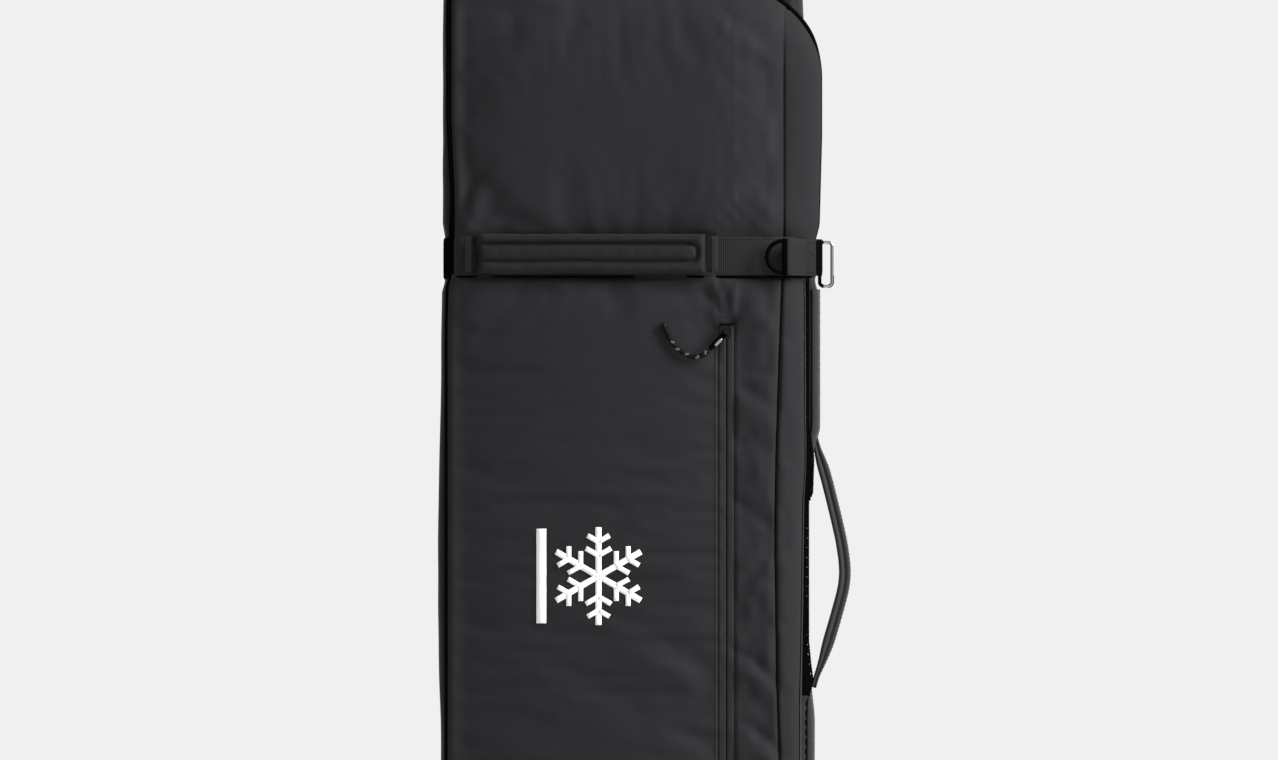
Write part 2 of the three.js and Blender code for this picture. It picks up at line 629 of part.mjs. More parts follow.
function buildMainSliders() {
  for (const [which, z] of Object.entries(MAIN_SLIDER_HEIGHTS)) {
    const slider = add(`main_slider_${which}`, sliderBody("arch"), metal);
    slider.rotation.set(0, Math.PI / 2, 0);
    slider.geometry.rotateZ(Math.PI / 2);
    if (which === "lower") slider.geometry.rotateZ(Math.PI);
    slider.position.set(MAIN_SLIDER_X, ZIP_Y, z);
    const tab = add(`main_pull_${which}`, pullTab("arch"), metal);
    tab.geometry.rotateZ(Math.PI / 2);
    tab.rotation.set(0, Math.PI / 2, 0);
    tab.position.set(MAIN_SLIDER_X + SLIDER.height + 1.15, ZIP_Y, z);
  }
}

buildBody();
buildTail();
buildLid();
buildMainZip();
buildStrap("upper", UPPER_STRAP_Z);
buildStrap("lower", LOWER_STRAP_Z);
buildGrabHandle();
buildSideHandle();
buildNoseLoop();
buildPocketPull();
buildMainSliders();

export default group;
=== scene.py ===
"""Padded snowboard bag standing on its tail: soft shells, straps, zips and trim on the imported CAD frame.

Lengths below are in millimetres in the frame's own axes (+X right of the front, +Y back, +Z up) and are
turned into metres where a mesh is made.
"""

import math

import bpy
import numpy as np
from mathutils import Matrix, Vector, noise


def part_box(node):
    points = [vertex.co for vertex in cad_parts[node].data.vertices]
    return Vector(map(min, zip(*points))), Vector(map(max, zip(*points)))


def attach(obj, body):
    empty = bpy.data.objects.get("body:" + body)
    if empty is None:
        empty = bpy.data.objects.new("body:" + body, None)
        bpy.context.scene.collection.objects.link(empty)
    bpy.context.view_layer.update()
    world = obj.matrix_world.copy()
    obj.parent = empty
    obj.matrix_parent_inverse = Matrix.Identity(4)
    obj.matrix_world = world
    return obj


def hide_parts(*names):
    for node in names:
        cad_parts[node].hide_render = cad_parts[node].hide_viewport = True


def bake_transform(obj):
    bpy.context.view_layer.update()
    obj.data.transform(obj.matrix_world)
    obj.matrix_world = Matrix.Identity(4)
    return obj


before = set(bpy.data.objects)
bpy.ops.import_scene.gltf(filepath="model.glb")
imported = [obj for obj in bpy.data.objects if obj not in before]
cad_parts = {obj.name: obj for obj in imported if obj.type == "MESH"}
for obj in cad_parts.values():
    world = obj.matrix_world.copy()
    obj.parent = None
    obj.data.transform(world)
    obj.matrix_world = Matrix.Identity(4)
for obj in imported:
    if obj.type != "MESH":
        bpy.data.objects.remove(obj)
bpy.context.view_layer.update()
MM = 0.001

# ---- camera: straight at the front, cropping the nose and the tail -------------------------------
AIM = (8.3, 1014.8)  # X and Z at the middle of the view
VIEW_WIDTH = 1175.8  # of the plane of the lid's front
LENS = 150
SENSOR = 36
FRONT_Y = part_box("front_panel")[0].y / MM

camera = bpy.data.objects.new("camera", bpy.data.cameras.new("camera"))
camera.data.lens = LENS
camera.data.sensor_width = SENSOR
camera.data.clip_end = 100
distance = VIEW_WIDTH * LENS / SENSOR
camera.location = Vector((AIM[0], FRONT_Y - distance, AIM[1])) * MM
camera.rotation_euler = (math.radians(90), 0, 0)
bpy.context.scene.collection.objects.link(camera)
bpy.context.scene.camera = camera


# ---- numbers shared by several pieces ------------------------------------------------------------
def centre_z(node):
    low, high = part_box(node)
    return (low.z + high.z) / 2 / MM


STRAPS = {level: centre_z(f"strap_front_{level}") for level in ("upper", "lower")}
STRAP_WIDTH = 38
STRAP_THICKNESS = 1.7
STITCH_INSET = 2.4  # of a strap's stitch rows from its edges
STRAP_PULL = 3.0  # how far the straps draw the padded sides in
LID_RIM_Y = -27
LID_DEPTH = 34  # from the rim to the front, before the crown
LID = dict(left=-162.5, right=158.5, bottom=70, top=1374, r_left=14, r_right=79)
ZIP_Y = -20
BALANCE_Z = centre_z("side_handle_grip")
BACK, FRONT = (0.0, 1.0, 0.0), (0.0, -1.0, 0.0)


def smooth(a, b, x):
    t = np.clip((np.asarray(x, float) - a) / (b - a), 0, 1)
    return t * t * (3 - 2 * t)


def wobble(points, size, seed=0.0):
    """Smooth noise from -1 to 1 at each point, with features of about that size."""
    flat = np.asarray(points, float).reshape(-1, 3) / size + seed
    values = np.array([noise.noise(Vector(p)) for p in flat])
    return values.reshape(np.asarray(points).shape[:-1])


def unit(vectors):
    """The vectors at length one."""
    return vectors / np.maximum(np.linalg.norm(vectors, axis=-1, keepdims=True), 1e-9)


def full_turn(count):
    """Angles spread evenly round a circle."""
    return np.linspace(0, 2 * math.pi, count + 1)[:-1]


def box_of(node):
    """A CAD node's lowest and highest corners, in millimetres."""
    return [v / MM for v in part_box(node)]


# ---- materials -----------------------------------------------------------------------------------
class Nodes:
    """A few lines of shader-node shorthand."""

    def __init__(self, name):
        self.material = bpy.data.materials.new(name)
        self.material.use_nodes = True
        self.tree = self.material.node_tree
        self.bsdf = self.tree.nodes["Principled BSDF"]
        self.coords = self.tree.nodes.new("ShaderNodeTexCoord").outputs["Object"]

    def link(self, a, b):
        self.tree.links.new(a, b)

    def math(self, operation, a, b=0.0, clamp=False):
        node = self.tree.nodes.new("ShaderNodeMath")
        node.operation = operation
        node.use_clamp = clamp
        for socket, value in zip(node.inputs, (a, b)):
            if isinstance(value, (int, float)):
                socket.default_value = value
            else:
                self.link(value, socket)
        return node.outputs[0]

    def noise(self, scale, detail=3.0, stretch=(1, 1, 1)):
        node = self.tree.nodes.new("ShaderNodeTexNoise")
        node.inputs["Scale"].default_value = scale
        node.inputs["Detail"].default_value = detail
        mapping = self.tree.nodes.new("ShaderNodeMapping")
        mapping.inputs["Scale"].default_value = stretch
        self.link(self.coords, mapping.inputs["Vector"])
        self.link(mapping.outputs[0], node.inputs["Vector"])
        return node.outputs["Fac"]

    def ridges(self, axis_mix, pitch):
        """Waves across a mix of the three axes, one every pitch millimetres."""
        dot = self.tree.nodes.new("ShaderNodeVectorMath")
        dot.operation = "DOT_PRODUCT"
        dot.inputs[1].default_value = [a * 2 * math.pi / (pitch * MM) for a in axis_mix]
        self.link(self.coords, dot.inputs[0])
        return self.math("SINE", dot.outputs["Value"])

    def bump(self, height, strength, depth):
        node = self.tree.nodes.new("ShaderNodeBump")
        node.inputs["Strength"].default_value = strength
        node.inputs["Distance"].default_value = depth * MM
        self.link(height, node.inputs["Height"])
        self.link(node.outputs[0], self.bsdf.inputs["Normal"])

    def tint(self, color, factor, spread):
        """The colour, made lighter and darker by factor, which runs from 0 to 1."""
        mix = self.tree.nodes.new("ShaderNodeMix")
        mix.data_type = "RGBA"
        for socket, gain in ((6, 1 - spread), (7, 1 + spread)):
            mix.inputs[socket].default_value = (*[c * gain for c in color], 1)
        self.link(factor, mix.inputs[0])
        self.link(mix.outputs[2], self.bsdf.inputs["Base Color"])


def cloth(name, color, pitch=0.55, roughness=0.75, sheen=0.25, spread=0.10, bump=0.35, specular=0.15):
    """Plain woven cloth: threads both ways, faint slubs, and slow changes of shade."""
    n = Nodes(name)
    across = n.ridges((1, 0.9, 0), pitch)
    along = n.ridges((0, 0, 1), pitch)
    weave = n.math("ADD", n.math("MULTIPLY", n.math("MULTIPLY", across, along), 0.5), 0.5)
    slub = n.noise(60, 4, (1, 1, 0.12))
    slow = n.noise(7, 3)
    shade = n.math("ADD", n.math("MULTIPLY", weave, 0.35), n.math("MULTIPLY", slub, 0.25))
    shade = n.math("ADD", shade, n.math("MULTIPLY", slow, 0.4), clamp=True)
    n.tint(color, shade, spread)
    n.bsdf.inputs["Roughness"].default_value = roughness
    n.bsdf.inputs["Sheen Weight"].default_value = sheen
    n.bsdf.inputs["Sheen Roughness"].default_value = 0.45
    n.bsdf.inputs["Specular IOR Level"].default_value = specular
    n.bump(n.math("ADD", weave, n.math("MULTIPLY", slub, 0.6)), bump, 0.12)
    return n.material


def ribbed(name, color, axis, pitch=1.9, roughness=0.7, specular=0.2):
    """Webbing: ribs across its length and fine threads along it."""
    n = Nodes(name)
    ribs = n.ridges(axis, pitch)
    cross = n.ridges((0.7, 0.6, 1.0), pitch * 0.71)
    grain = n.noise(420, 2)
    height = n.math("ADD", n.math("MULTIPLY", ribs, 0.5), n.math("MULTIPLY", cross, 0.25))
    shade = n.math("ADD", n.math("MULTIPLY", height, 0.35), n.math("MULTIPLY", grain, 0.9), clamp=True)
    n.tint(color, shade, 0.16)
    n.bsdf.inputs["Roughness"].default_value = roughness
    n.bsdf.inputs["Sheen Weight"].default_value = 0.05
    n.bsdf.inputs["Specular IOR Level"].default_value = specular
    n.bump(height, 0.5, 0.3)
    return n.material


def solid_material(name, color, roughness, metallic=0.0, scratches=0.1, specular=0.3):
    """Moulded plastic or polished metal, with fine scuffs in its gloss."""
    n = Nodes(name)
    scuff = n.noise(180, 5, (1, 1, 0.3))
    n.tint(color, scuff, scratches)
    n.bsdf.inputs["Metallic"].default_value = metallic
    n.bsdf.inputs["Specular IOR Level"].default_value = specular
    rough = n.math("ADD", n.math("MULTIPLY", scuff, 0.18), roughness - 0.09, clamp=True)
    n.link(rough, n.bsdf.inputs["Roughness"])
    n.bump(scuff, 0.15, 0.05)
    return n.material


POLYESTER = cloth("polyester", (0.0110, 0.0099, 0.0117), sheen=0.06)
SIDE_POLYESTER = cloth("side_polyester", (0.0100, 0.0092, 0.0105), sheen=0.05, specular=0.13)
COATED = cloth("coated_cloth", (0.013, 0.013, 0.014), pitch=0.9, roughness=0.5, sheen=0.05)
LINING = cloth("lining_cloth", (0.13, 0.135, 0.15), pitch=0.8, roughness=0.65)
TAPE = cloth("zip_tape", (0.0016, 0.0015, 0.0018), pitch=0.7, roughness=0.85, sheen=0.0, specular=0.0)
BINDING = cloth("binding", (0.0020, 0.0019, 0.0022), pitch=0.8, roughness=0.85, sheen=0.0, specular=0.0)
WEBBING = ribbed("webbing_flat", (0.0062, 0.0064, 0.0062), (1, 0.8, 0))
WEBBING_FLAT_X = ribbed("webbing_level", (0.020, 0.020, 0.020), (1, 0, 0))
WEBBING_UP = ribbed("webbing_upright", (0.0088, 0.0087, 0.0083), (0, 0, 1))
TAB_WEBBING = ribbed("webbing_tab", (0.0040, 0.0040, 0.0039), (1, 0.8, 0), specular=0.13)
SEAM_CLOTH = cloth("seam_cloth", (0.0032, 0.0030, 0.0034), pitch=0.8, sheen=0.0, specular=0.02)
# Painted shade: darker cloth for the grab handle's tabs where they meet the pad.
TAB_PAINTED_SHADE = cloth("tab_painted_shade", (0.0046, 0.0046, 0.0047), pitch=0.8, sheen=0.0, specular=0.05)
HANDLE_WEBBING = ribbed("webbing_handle", (0.026, 0.0257, 0.0252), (0, 0, 1))
PAD_CLOTH = cloth("pad_cloth", (0.0078, 0.0070, 0.0083), pitch=0.7, sheen=0.04)
POCKET_TAPE = cloth("pocket_tape", (0.0130, 0.0120, 0.0136), pitch=0.5, roughness=0.7, sheen=0.06)
CORD = cloth("cord", (0.0025, 0.0025, 0.0028), pitch=0.5, roughness=0.7, sheen=0.0, specular=0.08)
TRACER = cloth("cord_tracer", (0.065, 0.065, 0.065), pitch=0.5, roughness=0.55)
THREAD = cloth("thread", (0.0085, 0.0080, 0.0088), pitch=0.4, sheen=0.0)
THREAD_LIGHT = cloth("thread_light", (0.045, 0.045, 0.044), pitch=0.4)
COIL = solid_material("zip_coil", (0.0022, 0.0022, 0.0024), 0.8, specular=0.01)
PLASTIC = solid_material("black_plastic", (0.003, 0.003, 0.0033), 0.6, specular=0.12)
METAL = solid_material("bright_metal", (0.34, 0.34, 0.35), 0.14, 1.0, 0.05)
SLIDER_METAL = solid_material("slider_metal", (0.0045, 0.0045, 0.005), 0.6, specular=0.1)
DARK_METAL = solid_material("dark_metal", (0.0012, 0.0012, 0.0014), 0.75, specular=0.01)
WHITE = cloth("white_print", (0.82, 0.82, 0.80), pitch=0.55, roughness=0.6, sheen=0.0, spread=0.02)


# ---- mesh making ---------------------------------------------------------------------------------
def piece(name, points, faces, material, body=None, slot=None, replaces=(), flat=False):
    mesh = bpy.data.meshes.new(name)
    mesh.from_pydata([tuple(p) for p in np.asarray(points, float).reshape(-1, 3) * MM], [], faces)
    mesh.validate()
    mesh.polygons.foreach_set("use_smooth", [not flat] * len(mesh.polygons))
    obj = bpy.data.objects.new(name, mesh)
    bpy.context.scene.collection.objects.link(obj)
    mesh.materials.append(material)
    if body:
        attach(obj, body)
    if replaces:
        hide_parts(*replaces)
    return obj


def grid_faces(rows, columns, start=0, wrap_rows=False, wrap_columns=False):
    faces = []
    for i in range(rows if wrap_rows else rows - 1):
        for j in range(columns if wrap_columns else columns - 1):
            a = start + i * columns + j
            b = start + i * columns + (j + 1) % columns
            c = start + ((i + 1) % rows) * columns + (j + 1) % columns
            d = start + ((i + 1) % rows) * columns + j
            faces.append((a, b, c, d))
    return faces


def grid_normals(grid):
    """Unit normals of a grid of points, along rows cross columns."""
    return unit(np.cross(np.gradient(grid, axis=1), np.gradient(grid, axis=0)))


def level_normals(path):
    """Directions square to a path that lies in a level plane."""
    run = np.gradient(path, axis=0)
    return unit(np.stack([run[:, 1], -run[:, 0], np.zeros(len(path))], axis=1))


def tube_faces(rows, columns, start=0):
    """Faces of a tube of rings of points, with both its ends capped."""
    faces = grid_faces(rows, columns, start, wrap_columns=True)
    faces.append(tuple(start + k for k in range(columns))[::-1])
    faces.append(tuple(start + (rows - 1) * columns + k for k in range(columns)))
    return faces


def border(rows, columns):
    """Indices of a grid's outermost points, in order round it."""
    edge = list(range(columns))
    edge += [i * columns + columns - 1 for i in range(1, rows)]
    edge += [(rows - 1) * columns + j for j in range(columns - 2, -1, -1)]
    edge += [i * columns for i in range(rows - 2, 0, -1)]
    return edge


def recolour(obj, material, chosen):
    """Gives a second material to the faces that chosen picks."""
    obj.data.materials.append(material)
    for face in obj.data.polygons:
        face.material_index = int(chosen(face))


def thick(grid, thickness):
    """Points and faces of a closed sheet: the grid, and a copy of it thickness behind its normals."""
    rows, columns = grid.shape[:2]
    behind = grid - grid_normals(grid) * thickness
    points = np.concatenate([grid.reshape(-1, 3), behind.reshape(-1, 3)])
    front = grid_faces(rows, columns)
    n = rows * columns
    faces = [f[::-1] for f in front] + [tuple(v + n for v in f) for f in front]
    edge = border(rows, columns)
    faces += [(a, b, b + n, a + n) for a, b in zip(edge, edge[1:] + edge[:1])]
    return points, faces


def sweep(frames, section, closed_path):
    """A closed section carried along frames, each an origin and two directions. Ends are capped."""
    section = np.asarray(section, float)
    origins, us, vs = (np.asarray(a, float) for a in frames)
    points = (
        origins[:, None]
        + us[:, None] * section[None, :, 0, None]
        + vs[:, None] * section[None, :, 1, None]
    )
    rows, columns = points.shape[:2]
    if closed_path:
        faces = grid_faces(rows, columns, wrap_rows=True, wrap_columns=True)
    else:
        faces = tube_faces(rows, columns)
    return points.reshape(-1, 3), faces


def path_frames(path, side):
    """Frames along a path: side is the direction of the section's second axis."""
    path = np.asarray(path, float)
    tangent = unit(np.gradient(path, axis=0))
    side = np.broadcast_to(np.asarray(side, float), path.shape)
    out = unit(np.cross(tangent, side))
    return path, out, np.cross(out, tangent)


def rounded_section(width, thickness, steps=9, crown=0.0):
    """A flat strap's section: first axis through its thickness, second across its width."""
    across = np.linspace(-1, 1, steps)
    half = thickness / 2
    edge = 1 - 0.75 * np.abs(across) ** 8
    top = [(half * e + crown * (1 - a * a), a * width / 2) for a, e in zip(across, edge)]
    bottom = [(-half * e, a * width / 2) for a, e in zip(across[::-1], edge[::-1])]
    return top + bottom


def resample(path, step):
    path = np.asarray(path, float)
    length = np.concatenate([[0], np.cumsum(np.linalg.norm(np.diff(path, axis=0), axis=1))])
    at = np.linspace(0, length[-1], max(3, int(length[-1] / step) + 1))
    return np.stack([np.interp(at, length, path[:, k]) for k in range(path.shape[1])], axis=1)


def rounded_path(path, step=3.0, passes=6):
    """A path with its corners eased, at an even step."""
    path = resample(path, step)
    for _ in range(passes):
        path[1:-1] = (path[:-2] + 2 * path[1:-1] + path[2:]) / 4
    return path


def stitches(name, lines, material, body, pitch=3.6, length=2.5, radius=0.38, slot="outer_fabric"):
    """Rows of raised stitches. Each line is its points and the outward normal at each of them."""
    ring = 6
    points, faces = [], []
    profile = ((-0.5, 0.25), (-0.3, 0.9), (0.3, 0.9), (0.5, 0.25))
    for path, normals in lines:
        joined = resample(np.concatenate([path, normals], axis=1), pitch)
        for a, b in zip(joined[:-1], joined[1:]):
            centre = (a[:3] + b[:3]) / 2
            along = b[:3] - a[:3]
            along /= max(np.linalg.norm(along), 1e-9)
            up = (a[3:] + b[3:]) / 2
            up = up - along * up.dot(along)
            up /= max(np.linalg.norm(up), 1e-9)
            right = np.cross(along, up)
            start = len(points)
            for at, size in profile:
                for k in range(ring):
                    angle = 2 * math.pi * k / ring
                    round_about = right * math.cos(angle) + up * math.sin(angle)
                    points.append(centre + along * at * length + round_about * radius * size)
            faces += tube_faces(len(profile), ring, start)
    return piece(name, points, faces, material, body, slot)


def bead(name, points, out, radius, squat, material, body, slot, replaces=(), sides=8):
    """A closed cord-like bead along points, squat across the out direction."""
    run = unit(np.gradient(points, axis=0))
    side = unit(np.cross(run, out))
    up = np.cross(side, run)
    size = np.broadcast_to(np.asarray(radius, float), len(points))[:, None]
    angles = full_turn(sides)
    section = [(math.cos(a) * squat, math.sin(a)) for a in angles]
    mesh_points, faces = sweep((points, up * size, side * size), section, False)
    return piece(name, mesh_points, faces, material, body, slot, replaces)


# ---- cord on the pocket zip's pull, with its metal tab and its moulded tip -----------------------
# X and Z along the cord, from the pull tab to the tip.
POCKET_CORD = [
    (72, 1042), (69.2, 1039.3), (66, 1037.3), (62.4, 1036.3), (58.6, 1036.1),
    (54.8, 1036.9), (51.2, 1038.3), (47.8, 1040.3), (44.6, 1042.7), (41.8, 1045.4),
    (39.2, 1048.4), (37, 1051.6), (35.1, 1055.1), (33.5, 1058.7), (32.2, 1062.6),
]
CORD_DIAMETER = 4.2
BRAID_PITCH = 7
FLECK_STARTS = (0.04, 0.2, 0.38, 0.56, 0.7)  # shares of the cord's length
FLECK_LENGTH = 0.055  # a share too
# Along the tip from the cord's end, and the radius there.
TIP_RINGS = [(-0.6, 2.2), (0.2, 2.6), (3.0, 2.5), (4.6, 2.2), (5.2, 1.4)]


def build_cord():
    low, high = box_of("pocket_pull_cord")
    y = (low.y + high.y) / 2
    route = np.array([(x, y, z) for x, z in POCKET_CORD])
    line = rounded_path(route, 0.55, 4)
    run = unit(np.gradient(line, axis=0))
    depth = np.broadcast_to(BACK, line.shape)
    across = np.cross(run, depth)
    length = float(np.linalg.norm(np.diff(line, axis=0), axis=1).sum())
    angles = full_turn(20)
    along = np.linspace(0, 1, len(line))[:, None] * length * 2 * math.pi / BRAID_PITCH
    braid = np.maximum(np.sin(2 * angles + along), np.sin(2 * angles - along))
    radius = CORD_DIAMETER / 2 * (0.94 + 0.11 * braid)
    points = (line[:, None] + across[:, None] * (np.cos(angles) * radius)[..., None]
              + depth[:, None] * (np.sin(angles) * radius)[..., None])
    rows, columns = points.shape[:2]
    cord = piece("pocket_pull_cord_braid", points, tube_faces(rows, columns), CORD, "pocket_pull", "cord",
                 ["pocket_pull_cord"])
    marks = []
    for k, start in enumerate(FLECK_STARTS):
        i, j = int(start * rows), int((start + FLECK_LENGTH) * rows)
        turn = np.linspace(-0.4, 0.4, j - i) + (0.3 if k % 2 else -0.3)
        mark_out = -depth[i:j] * np.cos(turn)[:, None] + across[i:j] * np.sin(turn)[:, None]
        marks.append((line[i:j] + mark_out * (CORD_DIAMETER / 2 * 0.95), mark_out))
    flecks = stitches("pocket_pull_cord_tracer", marks, TRACER, "pocket_pull", 3.0, 2.9, 1.25, "cord")
    end, ahead = line[-1], run[-1]
    tip_points = [end + ahead * at + (across[-1] * math.cos(a) + depth[-1] * math.sin(a)) * r
                  for at, r in TIP_RINGS for a in angles]
    tip = piece("pocket_pull_tip_moulded", tip_points, tube_faces(len(TIP_RINGS), len(angles)), PLASTIC,
                "pocket_pull", "black_plastic", ["pocket_pull_tip"])
    tab = build_pull_tab()


def build_pull_tab():
    """A dark cast tab with a raised bar along one of its sides, whose bright metal is a painted highlight."""
    low, high = box_of("pocket_pull_tab")
    y = (low.y + high.y) / 2
    lower, upper = np.array([low.x + 2.2, y, low.z + 2.2]), np.array([high.x - 3, y, high.z - 3])
    along = (upper - lower) / np.linalg.norm(upper - lower)
    length = float(np.linalg.norm(upper - lower))
    front = np.array(FRONT)
    across = np.cross(along, front)
    section = [(-1, -0.3), (-0.9, 0.35), (-0.55, 0.5), (0.55, 0.5), (0.9, 0.35), (1, -0.3), (0.9, -0.5),
               (-0.9, -0.5)]
    places = [-2, -1.2, 0, 6, length, length + 1.8, length + 2.6]
    half_widths = [0.5, 1.6, 2.2, 2.6, 2.9, 2, 0.6]
    cast, bar = [], []
    for at in np.linspace(-2, length + 2.6, 40):
        half = float(np.interp(at, places, half_widths))
        cast.append([lower + along * at + across * half * u + front * 1.7 * v for u, v in section])
    # The raised bar lies where the tab's highlight falls; its bright metal is a painted highlight.
    for at in np.linspace(0.22, 0.60, 16) * length:
        half = 1.25 * float(np.interp(at / length, [0.22, 0.26, 0.56, 0.60], [0.5, 1, 1, 0.5]))
        middle = lower + across * 1.3 + along * at
        bar.append([middle + across * half * u + front * (1.15 + 0.5 * v) for u, v in section])
    points, faces = [], []
    for shape in (cast, bar):
        start = len(points)
        points += [p for row in shape for p in row]
        faces += tube_faces(len(shape), len(section), start)
    tab = piece("pocket_pull_tab_cast", points, faces, DARK_METAL, "pocket_pull", "metal",
                ["pocket_pull_tab"])
    first_highlight_face = len(cast) * len(section) - len(section) + 2
    # Painted highlight: the bar's faces take the bright metal.
    recolour(tab, METAL, lambda face: face.index >= first_highlight_face)
    return tab


build_cord()


# ---- lid surface ---------------------------------------------------------------------------------
def edge_distance(x, z, o):
    """How far a point is inside a rounded outline, and the outward direction there."""
    r = np.where(x > 0, o["r_right"], o["r_left"])
    side_x = np.where(x > 0, 1.0, -1.0)
    side_z = np.where(z > (o["bottom"] + o["top"]) / 2, 1.0, -1.0)
    to_x = np.where(x > 0, o["right"] - x, x - o["left"])
    to_z = np.where(side_z > 0, o["top"] - z, z - o["bottom"])
    past_x, past_z = r - to_x, r - to_z
    corner = (past_x > 0) & (past_z > 0)
    reach = np.hypot(past_x, past_z)
    near_x = to_x < to_z
    d = np.where(corner, r - reach, np.minimum(to_x, to_z))
    safe = np.maximum(reach, 1e-6)
    nx = np.where(corner, past_x / safe, np.where(near_x, 1.0, 0.0)) * side_x
    nz = np.where(corner, past_z / safe, np.where(near_x, 0.0, 1.0)) * side_z
    return np.maximum(d, 0), nx, nz


def row_right(z, o):
    """Right end of the row at height z."""
    past = np.maximum(np.maximum(z - (o["top"] - o["r_right"]), (o["bottom"] + o["r_right"]) - z), 0)
    return o["right"] - o["r_right"] + np.sqrt(np.maximum(o["r_right"] ** 2 - past**2, 0))


def row_left(z, o):
    past = np.maximum(np.maximum(z - (o["top"] - o["r_left"]), (o["bottom"] + o["r_left"]) - z), 0)
    return o["left"] + o["r_left"] - np.sqrt(np.maximum(o["r_left"] ** 2 - past**2, 0))


def lid_puff(x, z, nz):
    """How far the lid swells past its zipper: most on the right, above the upper strap, and at the top."""
    strap = STRAPS["upper"]
    right = np.interp(z, [720, 800, 900, 935, 1090, strap - 24, strap + 26, 1160, 1240],
                      [1.6, 3.2, 4.4, 6.6, 6.0, 5.6, 18.8, 19.8, 22.0])
    left = np.interp(z, [strap - 60, strap - 26, strap - 12, strap + 60, 1255], [9.6, 8.6, 3.0, 3.6, 6.8])
    side = left + (right - left) * smooth(-60, 90, x)
    end = np.where(nz > 0, 12.0, 7.0)
    return side * (1 - nz**2) + end * nz**2


def lid_edge(x, z, o):
    """Distance inside the zip line, share of the lid's full height, and the swell's shift in X and Z."""
    d, nx, nz = edge_distance(x, z, o)
    shoulder = 8 + 16 * smooth(-90, -40, x) + 10 * smooth(-40, 110, x)
    h = np.sqrt(np.maximum(1 - (1 - np.clip(d / shoulder, 0, 1)) ** 2, 0))
    square = smooth(-60, -110, x) * (1 - nz**2)
    swell = np.sin(np.pi * h**0.85) * (1 - square) + smooth(0, 0.4, h) * smooth(80, 13, d) * square
    bulge = lid_puff(x, z, nz) * swell
    return d, h, nx * bulge, nz * bulge


SEAM_TOP = 1341  # the seam fades out into the corner above this


def seam_table():
    """Rows up the lid, and where the seam is cut in each so that it wanders down the swollen bag."""
    rows = np.linspace(LID["bottom"], LID["top"], 330)
    place = np.full_like(rows, 136.0)
    for _ in range(30):
        _, _, shift_x, shift_z = lid_edge(place, rows, LID)
        shown = np.interp(rows + shift_z, [60, 665, 730, 850, 905, 955, 1090, 1145],
                          [142, 138, 136, 134.3, 134.4, 135.5, 140, 142.6])
        place += 0.5 * (shown - place - shift_x)
    return rows, place


SEAM_ROWS, SEAM_PLACES = seam_table()


def seam_x(z):
    """Where the seam between the front and side panels is cut, before the lid swells."""
    return np.interp(z, SEAM_ROWS, SEAM_PLACES)


# Soft folds: both ends in X and Z, half width, depth. Folds run out to nothing at both ends.
FOLDS = [
    ((64, 1100), (90, 1066), 5, 1.3),
    ((80, 1112), (92, 1066), 4, 1.1),
    ((104, 1104), (94, 1064), 4, 1.0),
    ((-166, 1118), (-140, 1204), 6, 1.5),
    ((-160, 1150), (-128, 1212), 5, 0.9),
    ((98, 812), (142, 864), 6, 1.9),
    ((92, 790), (138, 836), 7, 1.2),
    ((18, 776), (76, 742), 10, 2.0),
    ((96, 768), (138, 730), 6, 1.9),
    ((100, 702), (142, 664), 6, 1.8),
    ((30, 700), (80, 672), 9, 1.2),
    ((97, 905), (134, 872), 6, 0.9),
    ((98, 958), (130, 940), 7, 0.8),
    ((100, 1010), (134, 990), 7, 0.8),
    ((-60, 742), (20, 700), 14, 1.2),
    ((96, 640), (140, 606), 7, 1.5),
    ((20, 640), (78, 604), 10, 1.4),
    ((-150, 640), (-110, 560), 8, 1.2),
    ((100, 500), (140, 540), 7, 1.6),
    ((-158, 470), (-130, 540), 7, 1.2),
    ((98, 330), (142, 380), 8, 1.6),
    ((102, 220), (140, 170), 8, 1.6),
    ((-150, 150), (-110, 210), 9, 1.4),
]
POCKET_LEFT, POCKET_MIDDLE, POCKET_RIGHT = 81.0, 88.8, 96.5
pocket_low, pocket_high = (v.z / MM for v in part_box("pocket_zip"))


def fold_relief(x, z):
    total = np.zeros_like(x)
    for (x0, z0), (x1, z1), width, depth in FOLDS:
        along = np.array([x1 - x0, z1 - z0], float)
        length = np.linalg.norm(along)
        ux, uz = along / length
        t = ((x - x0) * ux + (z - z0) * uz) / length
        bow = 0.06 * length * np.sin(np.pi * np.clip(t, 0, 1))
        off = (x - x0) * uz - (z - z0) * ux + bow
        fade = smooth(-0.25, 0.3, t) * smooth(1.25, 0.7, t)
        total -= 1.5 * depth * fade * np.exp(-((off / width) ** 2))
        total += 0.8 * depth * fade * np.exp(-(((off - 1.9 * width) / (1.3 * width)) ** 2))
    return total


